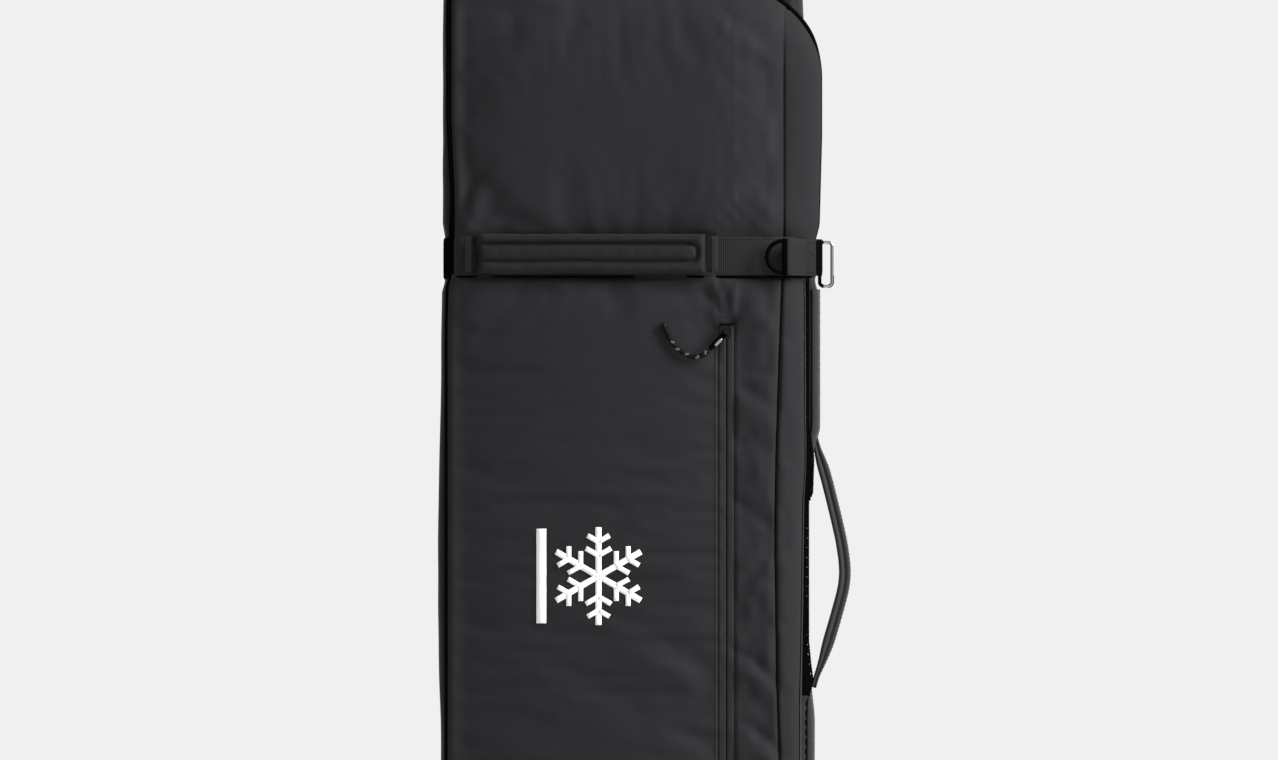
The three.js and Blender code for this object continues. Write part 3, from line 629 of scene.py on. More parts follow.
def inflate(grid, pinned, pressure, excess, frames, stiffness=12.0):
    """Where a sheet of cloth held at its pinned points settles under air pressure on its inside."""
    rows, columns = grid.shape[:2]
    mesh = bpy.data.meshes.new("sheet")
    mesh.from_pydata([tuple(p) for p in grid.reshape(-1, 3) * MM], [], grid_faces(rows, columns))
    sheet = bpy.data.objects.new("sheet", mesh)
    bpy.context.scene.collection.objects.link(sheet)
    held = sheet.vertex_groups.new(name="held")
    held.add(np.flatnonzero(pinned.ravel()).tolist(), 1.0, "REPLACE")
    cloth_modifier = sheet.modifiers.new("cloth", "CLOTH")
    settings = cloth_modifier.settings
    settings.quality = 6
    settings.mass = 0.05
    settings.vertex_group_mass = "held"
    settings.tension_stiffness = stiffness
    settings.compression_stiffness = stiffness
    settings.shear_stiffness = stiffness / 3
    settings.bending_stiffness = 0.05
    settings.shrink_min = -excess
    settings.use_pressure = True
    settings.uniform_pressure_force = pressure
    settings.effector_weights.gravity = 0
    cloth_modifier.point_cache.frame_start = 1
    cloth_modifier.point_cache.frame_end = frames
    for frame_number in range(1, frames + 1):
        bpy.context.scene.frame_set(frame_number)
    settled = sheet.evaluated_get(bpy.context.evaluated_depsgraph_get())
    points = np.array([v.co for v in settled.data.vertices]).reshape(grid.shape) / MM
    bpy.data.objects.remove(sheet)
    bpy.data.meshes.remove(mesh)
    bpy.context.scene.frame_set(1)
    return points


SHEET_STEP = 8.0
sheet_x = np.linspace(LID["left"], LID["right"], int((LID["right"] - LID["left"]) / SHEET_STEP) + 1)
sheet_z = np.linspace(LID["bottom"], LID["top"], int((LID["top"] - LID["bottom"]) / SHEET_STEP) + 1)


def settled_height():
    """How far the front's cloth stands out under the padding's push, held by its seams, straps and zip."""
    x, z = np.meshgrid(sheet_x, sheet_z)
    sheet = np.stack([x, np.zeros_like(x), z], axis=-1)
    inside, _, _ = edge_distance(x, z, LID)
    held = inside < SHEET_STEP * 1.5
    held |= np.abs(x - seam_x(z)) < SHEET_STEP * 0.6
    for level in STRAPS.values():
        held |= np.abs(z - level) < 15
    held |= (np.abs(x - POCKET_MIDDLE) < SHEET_STEP) & (z > pocket_low) & (z < pocket_high)
    sheet[..., 1] -= 0.5 * wobble(sheet, 60, 4.9) * ~held
    settled = inflate(sheet, held, 1.2, 0.012, 24)
    height = -settled[..., 1]
    swell = height.copy()
    for _ in range(60):
        padded = np.pad(swell, 1, mode="edge")
        swell = (padded[:-2, 1:-1] + padded[2:, 1:-1] + padded[1:-1, :-2] + padded[1:-1, 2:]) / 4
    return np.clip(height - 0.88 * swell, -3.5, 4.5)


def sampled(heights, x, z):
    """Heights of the coarse sheet between its points."""
    i = np.clip(np.interp(z, sheet_z, np.arange(len(sheet_z))), 0, len(sheet_z) - 1.001)
    j = np.clip(np.interp(x, sheet_x, np.arange(len(sheet_x))), 0, len(sheet_x) - 1.001)
    i0, j0 = i.astype(int), j.astype(int)
    a, b = i - i0, j - j0
    a, b = a * a * (3 - 2 * a), b * b * (3 - 2 * b)
    low = heights[i0, j0] * (1 - b) + heights[i0, j0 + 1] * b
    high = heights[i0 + 1, j0] * (1 - b) + heights[i0 + 1, j0 + 1] * b
    return low * (1 - a) + high * a


CLOTH_SHARE = 0.95
cloth_height = settled_height()


def lid_relief(x, z, detail=True):
    """Height of the lid's front over its plain crowned shape, outward."""
    p = np.stack([x, np.zeros_like(x), z], axis=-1)
    relief = 1.2 * wobble(p, 170, 3.1) + 0.7 * wobble(p, 70, 8.2) + 0.3 * wobble(p, 26, 1.7)
    relief += CLOTH_SHARE * sampled(cloth_height, x, z)
    for level in STRAPS.values():
        dz = np.abs(z - level)
        relief -= 2.4 * np.exp(-((dz / 21.5) ** 8))
        relief += 1.4 * np.exp(-(((dz - 42) / 20) ** 2))
        under_pad = 1.7 + 1.3 * np.exp(-(((x + 52) / 30) ** 2))
        relief -= under_pad * np.exp(-(((z - level + 18.8) / 2.2) ** 2))
    relief += fold_relief(x, z)
    # A shallow hollow that gives the cord room when the pocket's slider is right down.
    relief -= 2.2 * np.exp(-(((x - 52) / 42) ** 4)) * np.exp(-(((z - 606) / 40) ** 4))
    if detail:
        seam = np.abs(x - seam_x(z))
        below_corner = smooth(SEAM_TOP + 6, SEAM_TOP - 34, z)
        pucker = 1 + 0.35 * wobble(p, 14, 5.5)
        cut = 1.9 - 1.5 * smooth(1090, 1180, z)
        relief -= below_corner * cut * pucker * np.exp(-((seam / 1.5) ** 2))
        relief += below_corner * 0.25 * np.exp(-(((seam - 7) / 4.5) ** 2))
        zip_on = smooth(pocket_low - 4, pocket_low + 2, z) * smooth(pocket_high + 3, pocket_high - 2, z)
        inside = smooth(POCKET_LEFT - 0.7, POCKET_LEFT + 0.5, x)
        inside = inside * smooth(POCKET_RIGHT + 0.6, POCKET_RIGHT - 0.6, x)
        relief -= zip_on * 1.1 * inside
        left_lip = np.exp(-(((x - POCKET_LEFT + 3.5) / 2.6) ** 2))
        right_lip = 1.2 * np.exp(-(((x - POCKET_RIGHT - 3.5) / 2.8) ** 2))
        relief += zip_on * 0.3 * (left_lip + right_lip)
    return relief


def side_ripple(x, z, d):
    """Small slanting puckers in the side panel, where the padding pulls its cloth tight."""
    slanted = np.stack([x * 1.5 + z * 0.45, 0 * x, z * 0.75 - x * 0.6], axis=-1)
    where = smooth(3, 9, x - seam_x(z)) * smooth(1, 6, d)
    strength = 0.35 + 0.65 * smooth(0.1, 0.5, wobble(np.stack([x, 0 * x, z], axis=-1), 60, 6.6))
    return where * strength * (0.75 * wobble(slanted, 8, 2.4) + 0.4 * wobble(slanted, 4.5, 9.1))


def lid_surface(x, z, detail=True, o=LID, depth=LID_DEPTH, crown=3.2, relief=1.0):
    """Points of the lid's outside for positions x, z inside its zip line."""
    x, z = np.broadcast_arrays(np.asarray(x, float), np.asarray(z, float))
    d, h, shift_x, shift_z = lid_edge(x, z, o)
    middle_x = (o["left"] + o["right"]) / 2
    across = np.clip(np.abs(x - middle_x) / (o["right"] - middle_x), 0, 1)
    crowned = crown * (1 - across**2.4) * smooth(0, 60, d)
    front = h * smooth(0, 22, d)
    y = LID_RIM_Y - depth * h - crowned - relief * front * lid_relief(x, z, detail)
    if detail:
        ripple = side_ripple(x, z, d)
        y = y - ripple * h
        shift_x = shift_x + 0.8 * ripple * (1 - h)
    return np.stack([x + shift_x, y, z + shift_z], axis=-1)


def lid_columns():
    """Places across the front panel, closest together at the edge, the pocket zip and the seam."""
    edge = LID["left"] + 24 * (1 - np.cos(np.linspace(0, math.pi / 2, 10)))
    flat = np.arange(edge[-1] + 5.5, POCKET_LEFT - 7, 5.5)
    zip_lines = np.concatenate([
        np.arange(POCKET_LEFT - 5, POCKET_LEFT + 2.6, 0.9),
        [POCKET_MIDDLE - 2.5, POCKET_MIDDLE, POCKET_MIDDLE + 2.5],
        np.arange(POCKET_RIGHT - 2.6, POCKET_RIGHT + 5.5, 0.9),
    ])
    near_seam = [107, 111, 115, 119, 123, 126.5, 129.5, 132, 134, 135.6, 136.9, 138]
    return np.concatenate([edge, flat, zip_lines, near_seam])


def lid_rows():
    o = LID
    curve = 26 * (1 - np.cos(np.linspace(0, math.pi / 2, 9)))
    bottom, top = o["bottom"] + curve, (o["top"] - curve)[::-1]
    middle = np.concatenate([np.arange(bottom[-1] + 8, 600, 8), np.arange(600, top[0] - 3, 3.8)])
    rows = np.concatenate([bottom, middle, top])
    for level in STRAPS.values():
        edge = np.arange(level - 26, level - 14, 1.3)
        rows = np.concatenate([rows[rows < edge[0] - 1], edge, rows[rows > edge[-1] + 1]])
    return rows


def lid_grids():
    """Grids of the front panel and of the side panel, which share the seam."""
    columns, rows = lid_columns(), lid_rows()
    front_x, side_x = [], []
    fan = np.sin(np.linspace(0, math.pi / 2, 25)) ** 1.15
    for z in rows:
        left, right = row_left(z, LID), row_right(z, LID)
        seam = min(float(seam_x(z)), right - 3)
        xs = columns.copy()
        past = columns > 105
        xs[past] = 105 + (columns[past] - 105) * (float(seam_x(z)) - 105) / (columns[-1] - 105)
        squeeze = (seam - left) / (float(seam_x(z)) - LID["left"])
        xs = left + (xs - LID["left"]) * squeeze if squeeze < 0.999 else xs
        xs[-1] = seam
        front_x.append(xs)
        side_x.append(seam + (right - seam) * fan)
    z = rows[:, None]
    return lid_surface(np.array(front_x), z), lid_surface(np.array(side_x), z)


front_grid, side_grid = lid_grids()
front_cloth = piece("front_panel_cloth", *thick(front_grid, 2.0), POLYESTER, "lid", "outer_fabric",
                    ["front_panel", "lid_top_gusset", "lid_bottom_gusset", "lid_hinge_gusset", "lid_foam",
                     "pocket_bag"])
side_cloth = piece("lid_side_cloth", *thick(side_grid, 2.0), SIDE_POLYESTER, "lid", "outer_fabric",
                   ["lid_side_gusset"])


# ---- outlines and sweeps round the bag -----------------------------------------------------------
def rounded_outline(o, step=6.0):
    """Points round an outline, anticlockwise from the front, with outward directions."""
    points, normals = [], []
    corners = [
        (o["right"] - o["r_right"], o["bottom"] + o["r_right"], o["r_right"], -90),
        (o["right"] - o["r_right"], o["top"] - o["r_right"], o["r_right"], 0),
        (o["left"] + o["r_left"], o["top"] - o["r_left"], o["r_left"], 90),
        (o["left"] + o["r_left"], o["bottom"] + o["r_left"], o["r_left"], 180),
    ]
    arcs = []
    for cx, cz, r, start in corners:
        count = max(6, int(r * math.pi / 2 / step))
        angles = np.radians(start + np.linspace(0, 90, count + 1))
        direction = np.stack([np.cos(angles), np.zeros_like(angles), np.sin(angles)], axis=1)
        arcs.append((np.array([cx, 0, cz]) + r * direction, direction))
    for (p, n), (q, _) in zip(arcs, arcs[1:] + arcs[:1]):
        points.append(p)
        normals.append(n)
        count = int(np.linalg.norm(q[0] - p[-1]) / step)
        t = np.linspace(0, 1, count + 2)[1:-1, None]
        points.append(p[-1] + (q[0] - p[-1]) * t)
        normals.append(np.repeat(n[-1:], count, axis=0))
    return np.concatenate(points), np.concatenate(normals)


def ring(name, outline, section, material, body, slot, replaces=(), shape=None):
    """A closed section of (outward, Y) points carried round an outline."""
    points, normals = outline
    back = np.broadcast_to(BACK, points.shape)
    mesh_points, faces = sweep((points, normals, back), section, True)
    if shape:
        mesh_points = shape(mesh_points)
    return piece(name, mesh_points, [f[::-1] for f in faces], material, body, slot, replaces)


zip_outline = rounded_outline(LID)
LID_BINDING = [(0.8, -28.5), (1.0, -26.2), (-1, -25.6), (-12, -26.4), (-12, -28.4), (-2, -28.6)]
ring("lid_binding", zip_outline, LID_BINDING, BINDING, "lid", "outer_fabric")

# ---- body ----------------------------------------------------------------------------------------
BODY = dict(left=-171, right=166, bottom=59, top=1680, r_left=112, r_right=112)
TAIL_CORNER = 12
BACK_Y = 65.4  # of the back panel at its edges


def body_outline(step=8.0):
    """The body's widest line: wide at the left middle, narrower at the nose and behind the carry handle."""
    points, normals = rounded_outline(BODY, step)
    tail = rounded_outline({**BODY, "r_left": TAIL_CORNER, "r_right": TAIL_CORNER}, step)
    upper, lower = points[:, 2] > BALANCE_Z, tail[0][:, 2] <= BALANCE_Z
    middle = np.flatnonzero(lower)[np.argmax(np.diff(np.flatnonzero(lower), prepend=-1) > 1)]
    points, normals = (
        np.concatenate([below[:middle][lower[:middle]], above[upper], below[middle:][lower[middle:]]])
        for below, above in zip(tail, (points, normals))
    )
    z = points[:, 2]
    right = np.interp(z, [400, 700, 755, 840, 930, 970, 1110, 1180, 1300, 1360, 1400],
                      [3, 4, -2, -3.5, -1, 9, 9, 5, -1.5, -4.9, -7])
    left = np.interp(z, [200, 500, 800, 950, 1110, 1300, 1400, 1480], [-3, -5, -8, -7, -4, -4, -4, 2])
    points[:, 0] += np.where(points[:, 0] > 0, right, left) * np.abs(normals[:, 0])
    return points, normals


BODY_SECTION = [
    (-12.5, -12.5), (-8, -14), (-4, -11), (-1.4, -5), (-0.2, 3), (0.4, 14), (0.3, 26), (-0.6, 38), (-3.4, 49),
    (-9.5, 58), (-19, 63.5), (-31, 65.2), (-31, 62.6), (-20.5, 60.6), (-12.4, 55.8), (-6.6, 47), (-3.4, 36),
    (-2.6, 24), (-2.8, 8), (-4.6, -4), (-8, -9.5), (-12.5, -9.5),
]


def body_softness(points):
    """Slow waves in the padded sides, with the straps pulled in."""
    out = points.copy()
    side = np.sign(points[:, 0]) * smooth(100, 160, np.abs(points[:, 0]))
    pull = sum(np.exp(-(((points[:, 2] - z) / 26) ** 8)) for z in STRAPS.values())
    waves = 1.6 * wobble(points, 120, 2.2) + 0.6 * wobble(points, 40, 6.1)
    amount = waves * (1 - pull) - STRAP_PULL * pull
    out[:, 0] += side * amount
    out[:, 1] += smooth(50, 64, points[:, 1]) * 0.8 * wobble(points, 90, 4.4)
    return out


body_line = body_outline()
body_cloth = ring("body_side_cloth", body_line, BODY_SECTION, SIDE_POLYESTER, "body", "outer_fabric",
                  ["side_gusset_left", "side_gusset_right", "nose_gusset", "tail_gusset", "back_foam",
                   "side_foam_left", "side_foam_right"], body_softness)


def panel(name, outline, inset, z_range, y_of, material, slot, replaces, columns=44, step=9.0, outward=1):
    """A flat-cut panel inside an outline, from row to row, at the depth that y_of gives."""
    points, normals = outline
    line = points - normals * inset
    rows = np.arange(max(z_range[0], line[:, 2].min() + 0.5), min(z_range[1], line[:, 2].max() - 0.5), step)
    loop = np.roll(line, -line[:, 2].argmin(), axis=0)
    peak = loop[:, 2].argmax()
    right_half, left_half = loop[: peak + 1], np.concatenate([loop[peak:], loop[:1]])[::-1]
    grid = []
    for z in rows:
        xr = np.interp(z, right_half[:, 2], right_half[:, 0])
        xl = np.interp(z, left_half[:, 2], left_half[:, 0])
        x = np.linspace(xl, xr, columns)
        grid.append(np.stack([x, y_of(x, np.full_like(x, z)), np.full_like(x, z)], axis=1))
    grid = np.array(grid)
    if outward < 0:
        grid = grid[:, ::-1]
    return piece(name, *thick(grid, 2.0), material, "body", slot, replaces)


def back_y(x, z):
    p = np.stack([x, np.zeros_like(x), z], axis=-1)
    y = BACK_Y + 3.0 * (1 - np.clip(np.abs(x) / 145, 0, 1) ** 3)
    y = y + 1.2 * wobble(p, 150, 7.7) + 0.5 * wobble(p, 50, 1.2)
    for level in STRAPS.values():
        y = y - 2.4 * np.exp(-(((z - level) / 18) ** 4)) * smooth(0, 10, 150 - np.abs(x))
    return y


def nose_y(x, z):
    p = np.stack([x, np.zeros_like(x), z], axis=-1)
    rise = smooth(1352, 1440, z) * (1 - np.clip(np.abs(x + 4) / 160, 0, 1) ** 2.6)
    return -14.2 - 6.0 * rise - 1.2 * wobble(p, 110, 9.3) * rise


back_cloth = panel("back_cloth", body_line, 30, (0, 2000), back_y, POLYESTER, "outer_fabric",
                   ["back_panel"], outward=-1)
nose_cloth = panel("nose_cloth", body_line, 6.5, (1352, 2000), nose_y, SIDE_POLYESTER, "outer_fabric",
                   ["nose_panel"], step=6)


WELT_INSET, WELT_Y, WELT_RADIUS = 30.5, BACK_Y, 1.5
WELT_SECTION = [(-WELT_INSET + WELT_RADIUS * math.cos(a), WELT_Y + WELT_RADIUS * math.sin(a))
                for a in full_turn(8)]
ring("back_welt", body_line, WELT_SECTION, BINDING, "body", "outer_fabric")

# ---- linings -------------------------------------------------------------------------------------
inner_rows = np.linspace(LID["bottom"] + 9, LID["top"] - 9, 120)
INNER_LID = {**LID, "left": LID["left"] + 9, "right": LID["right"] - 9, "bottom": LID["bottom"] + 9,
             "top": LID["top"] - 9, "r_left": 14, "r_right": 75}
lining_x = np.array([np.linspace(row_left(z, INNER_LID), row_right(z, INNER_LID), 48) for z in inner_rows])
lining_grid = lid_surface(lining_x, inner_rows[:, None], False, INNER_LID, LID_DEPTH - 10, 3.0, 0.4)
piece("lid_lining_cloth", *thick(lining_grid, 1.2), LINING, "lid", "lining_cloth", ["lid_lining"])

LINING_SECTION = [
    (-12.5, -10.5), (-8.5, -7.5), (-6.6, 0), (-6.2, 24), (-7.4, 40), (-12, 50), (-20, 55), (-33, 56.6),
    (-33, 55.2), (-20.6, 53.6), (-13.4, 49), (-8.8, 39.4), (-7.6, 24), (-8, 1), (-9.8, -6.4), (-12.5, -9),
]
ring("body_lining_cloth", body_line, LINING_SECTION, LINING, "body", "lining_cloth", ["body_lining"])
panel("back_lining_cloth", body_line, 31, (0, 2000),
      lambda x, z: back_y(x, z) - 11.5, LINING, "lining_cloth", [])

# ---- tail: coated cup that the bag stands on -----------------------------------------------------
tail_low, tail_high = box_of("tail_cup")


def tail_ring(inset, z, bulge=0.0, share=0.0):
    """One line round the cup. Behind the zip its upper part climbs and hugs the padded body, by its share."""
    r = 34 - inset * 0.6
    x0, x1 = tail_low.x + inset - bulge, tail_high.x - inset + bulge
    y0, y1 = tail_low.y + inset - bulge, tail_high.y - inset + bulge
    line = []
    quarters = ((x1 - r, y1 - r, 0), (x0 + r, y1 - r, 90), (x0 + r, y0 + r, 180), (x1 - r, y0 + r, 270))
    for cx, cy, start in quarters:
        for a in np.radians(start + np.linspace(0, 90, 13)):
            line.append((cx + r * math.cos(a), cy + r * math.sin(a)))
        if start in (90, 270):
            ends = np.linspace(line[-1][1], y0 + r if start == 90 else y1 - r, 9)[1:-1]
            line += [(line[-1][0], y) for y in ends]
    x, y = np.array(line).T
    climb = share * smooth(-24, 4, y)
    x = x + climb * np.where(x > 0, 5.5, -8.5) * smooth(60, 150, np.abs(x))
    y = y + climb * 6.5 * smooth(20, 55, y)
    return np.stack([x, y, z + 25 * climb], axis=1)


# Inset, height, bulge and share of the climb for each line: the underside, up the wall and over its edge.
TAIL_RINGS = [
    (26, 0.0, 0, 0), (12, 0.0, 0, 0), (5, 0.6, 0, 0), (1.6, 3.4, 0, 0), (0.3, 9, 0, 0), (0, 20, 0.8, 0),
    (0, 30, 1.1, 0.12), (0, 40, 0.9, 0.42), (0, 48, 0.5, 0.78), (0, 54, 0.1, 1), (0.3, 58.5, 0, 1),
    (1.4, 60.3, 0, 1), (3.0, 59.8, 0, 1), (4.2, 57, 0, 1), (9, 55, 0, 0.6), (40, 60, 0, 0),
]


def build_tail():
    rings = [tail_ring(*r) for r in TAIL_RINGS]
    points = np.array(rings).reshape(-1, 3)
    faces = tube_faces(len(rings), len(rings[0]))
    soft = 0.8 * wobble(points, 60, 3.3) * smooth(6, 20, points[:, 2]) * smooth(58, 48, points[:, 2])
    points[:, 1] += np.sign(points[:, 1]) * soft
    cup = piece("tail_cup_cloth", points, faces, COATED, "body", "coated_fabric", ["tail_cup", "tail_foam"])
    for name, inset, height in (("binding", 0.6, 60.2), ("stitches", -0.2, 52)):
        line = tail_ring(inset, height, 0, 1)
        line = np.concatenate([line, line[:1]])
        out = level_normals(line)
        if name == "binding":
            bead("tail_cup_binding", line, out, 1.7, 1.0, BINDING, "body", "outer_fabric")
        else:
            stitches("tail_cup_stitches", [(line, out)], THREAD, "body", 4.2, 3.0, 0.4, "coated_fabric")


build_tail()


# ---- straps --------------------------------------------------------------------------------------
def section_path(level_z, x0, x1, lift, count=140):
    """Points lifted off the lid round its section at one height, with outward directions."""
    t = np.linspace(0, 1, count)
    x = x0 + (x1 - x0) * (0.5 - 0.5 * np.cos(math.pi * t))
    points = lid_surface(x, np.full_like(x, level_z), False)
    points[:, 2] = level_z
    outward = level_normals(points)
    return points + outward * lift, outward


def flat_ribbon(name, path, outward, width, thickness, material, body, slot, replaces=(), steps=19):
    side = np.broadcast_to([0.0, 0.0, 1.0], path.shape)
    points, faces = sweep((path, outward, side), rounded_section(width, thickness, steps), False)
    return piece(name, points, faces, material, body, slot, replaces)


def ribbon_outward(path, away_from):
    """Directions square to a path in a level plane, pointing away from a place inside it."""
    outward = level_normals(path)
    flip = np.sum(outward * (path - np.asarray(away_from)), axis=1) < 0
    return np.where(flip[:, None], -outward, outward)


def body_side(z, right):
    """X of the body's widest line at a height."""
    points = body_line[0]
    near = points[(points[:, 0] > 0) == right]
    order = near[:, 2].argsort()
    return float(np.interp(z, near[order, 2], near[order, 0]))


D_BAR_X = (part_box("d_ring_upper")[1].x / MM) - 1.6
D_BAR_Y = (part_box("d_ring_upper")[0].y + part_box("d_ring_upper")[1].y) / 2 / MM


def build_strap_front(level, z):
    over, _ = section_path(z, LID["left"] + 0.4, D_BAR_X + 14, 1.1)
    left = body_side(z, False) + STRAP_PULL
    start = np.array([[left - 1.1, -3, z], [left + 0.2, -9, z], [left + 2.2, -15, z], [left + 3.6, -21, z]])
    path = rounded_path(np.concatenate([start, over[2:]]), 3.5, 3)
    out = ribbon_outward(path, (0, 0, z))
    strap = flat_ribbon(f"strap_front_{level}_webbing", path, out, STRAP_WIDTH, STRAP_THICKNESS, WEBBING,
                        None, "webbing", [f"strap_front_{level}"])

    def in_painted_shade(face):
        """True at the hinge, where the strap turns in, and along its lower edge, which faces down. These
        faces are painted shade, in the binding's near-black cloth.
        """
        at_hinge = face.center.x < (LID["left"] + 0.5) * MM
        at_lower_edge = face.center.z < (z - STRAP_WIDTH / 2 + 1.6) * MM
        return at_hinge or at_lower_edge

    # Painted shade: the strap's end at the hinge and its lower edge take the dark binding cloth.
    recolour(strap, BINDING, in_painted_shade)
    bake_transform(strap)
    rows = []
    for offset in (-STRAP_WIDTH / 2 + STITCH_INSET, STRAP_WIDTH / 2 - STITCH_INSET):
        keep = path[:, 0] > -150
        rows.append((path[keep] + out[keep] * 0.85 + np.array([0, 0, offset]), out[keep]))
    stitches(f"strap_front_{level}_stitches", rows, THREAD, "lid", 4.2, 3.0, 0.3, "webbing")


def build_strap_back(level, z):
    right, left = body_side(z, True), body_side(z, False)
    side_profile = [(n, y) for n, y in BODY_SECTION if y > -6][:9]
    lift = 1.1 - STRAP_PULL
    path = [(right + n + lift, y, z) for n, y in side_profile]
    path += [(x, float(back_y(np.array([x]), np.array([z]))[0]) + 0.9, z)
             for x in np.linspace(right - 36, left + 36, 16)]
    path += [(left - n - lift, y, z) for n, y in side_profile[::-1]]
    path = rounded_path(path, 3.5, 2)
    out = ribbon_outward(path, (0, 10, z))
    flat_ribbon(f"strap_back_{level}_webbing", path + out * 0.4, out, STRAP_WIDTH, STRAP_THICKNESS, WEBBING,
                "body", "webbing", [f"strap_back_{level}"])
    rows = []
    for offset in (-STRAP_WIDTH / 2 + STITCH_INSET, STRAP_WIDTH / 2 - STITCH_INSET):
        rows.append((path + out * 1.25 + np.array([0, 0, offset]), out))
    stitches(f"strap_back_{level}_stitches", rows, THREAD, "body", 4.2, 3.0, 0.3, "webbing")


def build_ring_tab(level, z):
    """Webbing that holds the D-ring's bar at one end and the strap ring at the other."""
    low, high = box_of(f"strap_ring_{level}")
    bar_x, bar_y = low.x + 1.7, (low.y + high.y) / 2
    width = 34
    cover, _ = section_path(z, D_BAR_X + 7, LID["right"] - 3, 3.4)
    about_d = ((5.5, 1.9), (1.5, 3.0), (-3.0, 1.8), (-4.2, -0.9), (-1.6, -3.1), (2.6, -2.2))
    about_ring = ((-1.2, -3.1), (1.6, -2.4), (2.7, 0), (1.8, 2.3), (-0.8, 3.2))
    around_d = [(D_BAR_X + dx, D_BAR_Y + dy) for dx, dy in about_d]
    around_ring = [(bar_x + dx, bar_y + dy) for dx, dy in about_ring]
    cover = cover[(cover[:, 1] < bar_y - 7) | (cover[:, 0] < bar_x - 14)]
    path = np.array([(x, y, z) for x, y in around_d] + [tuple(p) for p in cover]
                    + [(x, y, z) for x, y in around_ring])
    path = rounded_path(path, 1.6, 3)
    out = level_normals(path)
    tab = flat_ribbon(f"ring_tab_{level}_webbing", path, out, width, 1.5, TAB_WEBBING, "lid", "webbing",
                      [f"ring_tab_{level}"])
    # Painted shade: both ends of the tab, where it wraps the D-ring's bar and the strap ring's bar, take the
    # dark binding cloth.
    low_x, high_x = (D_BAR_X + 0.8) * MM, (bar_x - 3.2) * MM
    recolour(tab, BINDING, lambda face: not low_x <= face.center.x <= high_x)
    x0, x1 = D_BAR_X + 6, D_BAR_X + 17
    seam_path, seam_out = section_path(z, x0, x1, 4.4, 24)
    half = width / 2 - 3
    rows = [(seam_path + np.array([0, 0, s * half]), seam_out) for s in (-1, 1)]
    for a, b in ((-1, 1), (1, -1)):
        lift = np.linspace(a * half, b * half, 24)
        rows.append((seam_path + np.stack([0 * lift, 0 * lift, lift], axis=1), seam_out))
    for end in (0, -1):
        across = np.linspace(-half, half, 14)
        line = seam_path[end] + np.stack([0 * across, 0 * across, across], axis=1)
        rows.append((line, np.repeat(seam_out[end][None], 14, axis=0)))
    stitches(f"ring_tab_{level}_stitches", rows, THREAD, "lid", 2.6, 1.9, 0.3, "webbing")


def wire(name, path, radius, material, body, slot, replaces=(), closed=True, sides=12):
    """Round wire along a path that lies in an XZ plane."""
    path = np.asarray(path, float)
    run = np.gradient(path, axis=0) if not closed else np.roll(path, -1, axis=0) - np.roll(path, 1, axis=0)
    run = unit(run)
    depth = np.broadcast_to(BACK, path.shape)
    across = np.cross(run, depth)
    angles = full_turn(sides)
    section = [(radius * math.cos(a), radius * math.sin(a)) for a in angles]
    points, faces = sweep((path, across, depth), section, closed)
    return piece(name, points, faces, material, body, slot, replaces)


def arc(cx, cz, r, start, end, y, count=8, rz=None):
    angles = np.radians(np.linspace(start, end, count))
    return [(cx + r * math.cos(a), y, cz + (rz or r) * math.sin(a)) for a in angles]


def build_rings(level):
    low, high = box_of(f"d_ring_{level}")
    y, middle, half, r = D_BAR_Y, (low.z + high.z) / 2, (high.z - low.z) / 2 - 1.7, 1.9
    bow = D_BAR_X - (low.x + 1.7)
    path = [(D_BAR_X, y, middle + half - 2.5 + t) for t in np.linspace(-2 * half + 5, 0, 14)]
    path += arc(D_BAR_X - 2.2, middle + half - 2.3, 2.2, 0, 90, y, 5)[1:]
    path += arc(D_BAR_X - 3.5, middle, bow - 3.5, 96, 264, y, 30, half)
    path += arc(D_BAR_X - 2.2, middle - half + 2.3, 2.2, 270, 360, y, 5)[:-1]
    wire(f"d_ring_{level}_wire", path, r, DARK_METAL, f"d_ring_{level}", "metal", [f"d_ring_{level}"])
    low, high = box_of(f"strap_ring_{level}")
    r, y = 1.7, (low.y + high.y) / 2
    x0, x1, z0, z1, c = low.x + r, high.x - r, low.z + r, high.z - r, 3.6
    path = arc(x1 - c, z1 - c, c, 0, 90, y) + arc(x0 + c, z1 - c, c, 90, 180, y)
    path += [(x0, y, v) for v in np.linspace(z1 - c, z0 + c, 12)[1:-1]]
    path += arc(x0 + c, z0 + c, c, 180, 270, y) + arc(x1 - c, z0 + c, c, 270, 360, y)
    path += [(x1, y, v) for v in np.linspace(z0 + c, z1 - c, 12)[1:-1]]
    strap_ring = wire(f"strap_ring_{level}_wire", path, r, METAL, f"strap_ring_{level}", "metal",
                      [f"strap_ring_{level}"])

    def dark(face):
        """True inside and outside the ring's bends, and on the bar that its webbing covers. Dark metal there
        is painted: a painted dark reflection in the bends and painted shade on the covered bar.
        """
        place = face.center / MM
        past_x = abs(place.x - (x0 + x1) / 2) > (x1 - x0) / 2 - c
        past_z = abs(place.z - middle) > (z1 - z0) / 2 - c
        edge_on = abs(face.normal.y) < 0.75
        return (past_x and past_z and edge_on) or place.x < x0 + c

    # Painted dark reflection in the ring's bends and painted shade on the bar under the webbing, in dark
    # metal.
    recolour(strap_ring, DARK_METAL, dark)


for level, z in STRAPS.items():
    build_strap_front(level, z)
    build_strap_back(level, z)
    build_ring_tab(level, z)
    build_rings(level)


# ---- padded grab handle on the upper strap -------------------------------------------------------
def pad_sag(x):
    """How far the pad's lower edge hangs below a straight line."""
    return 0.9 * smooth(-139, -120, x) * smooth(68, 50, x) - 1.2 * np.exp(-(((x + 52) / 26) ** 2))


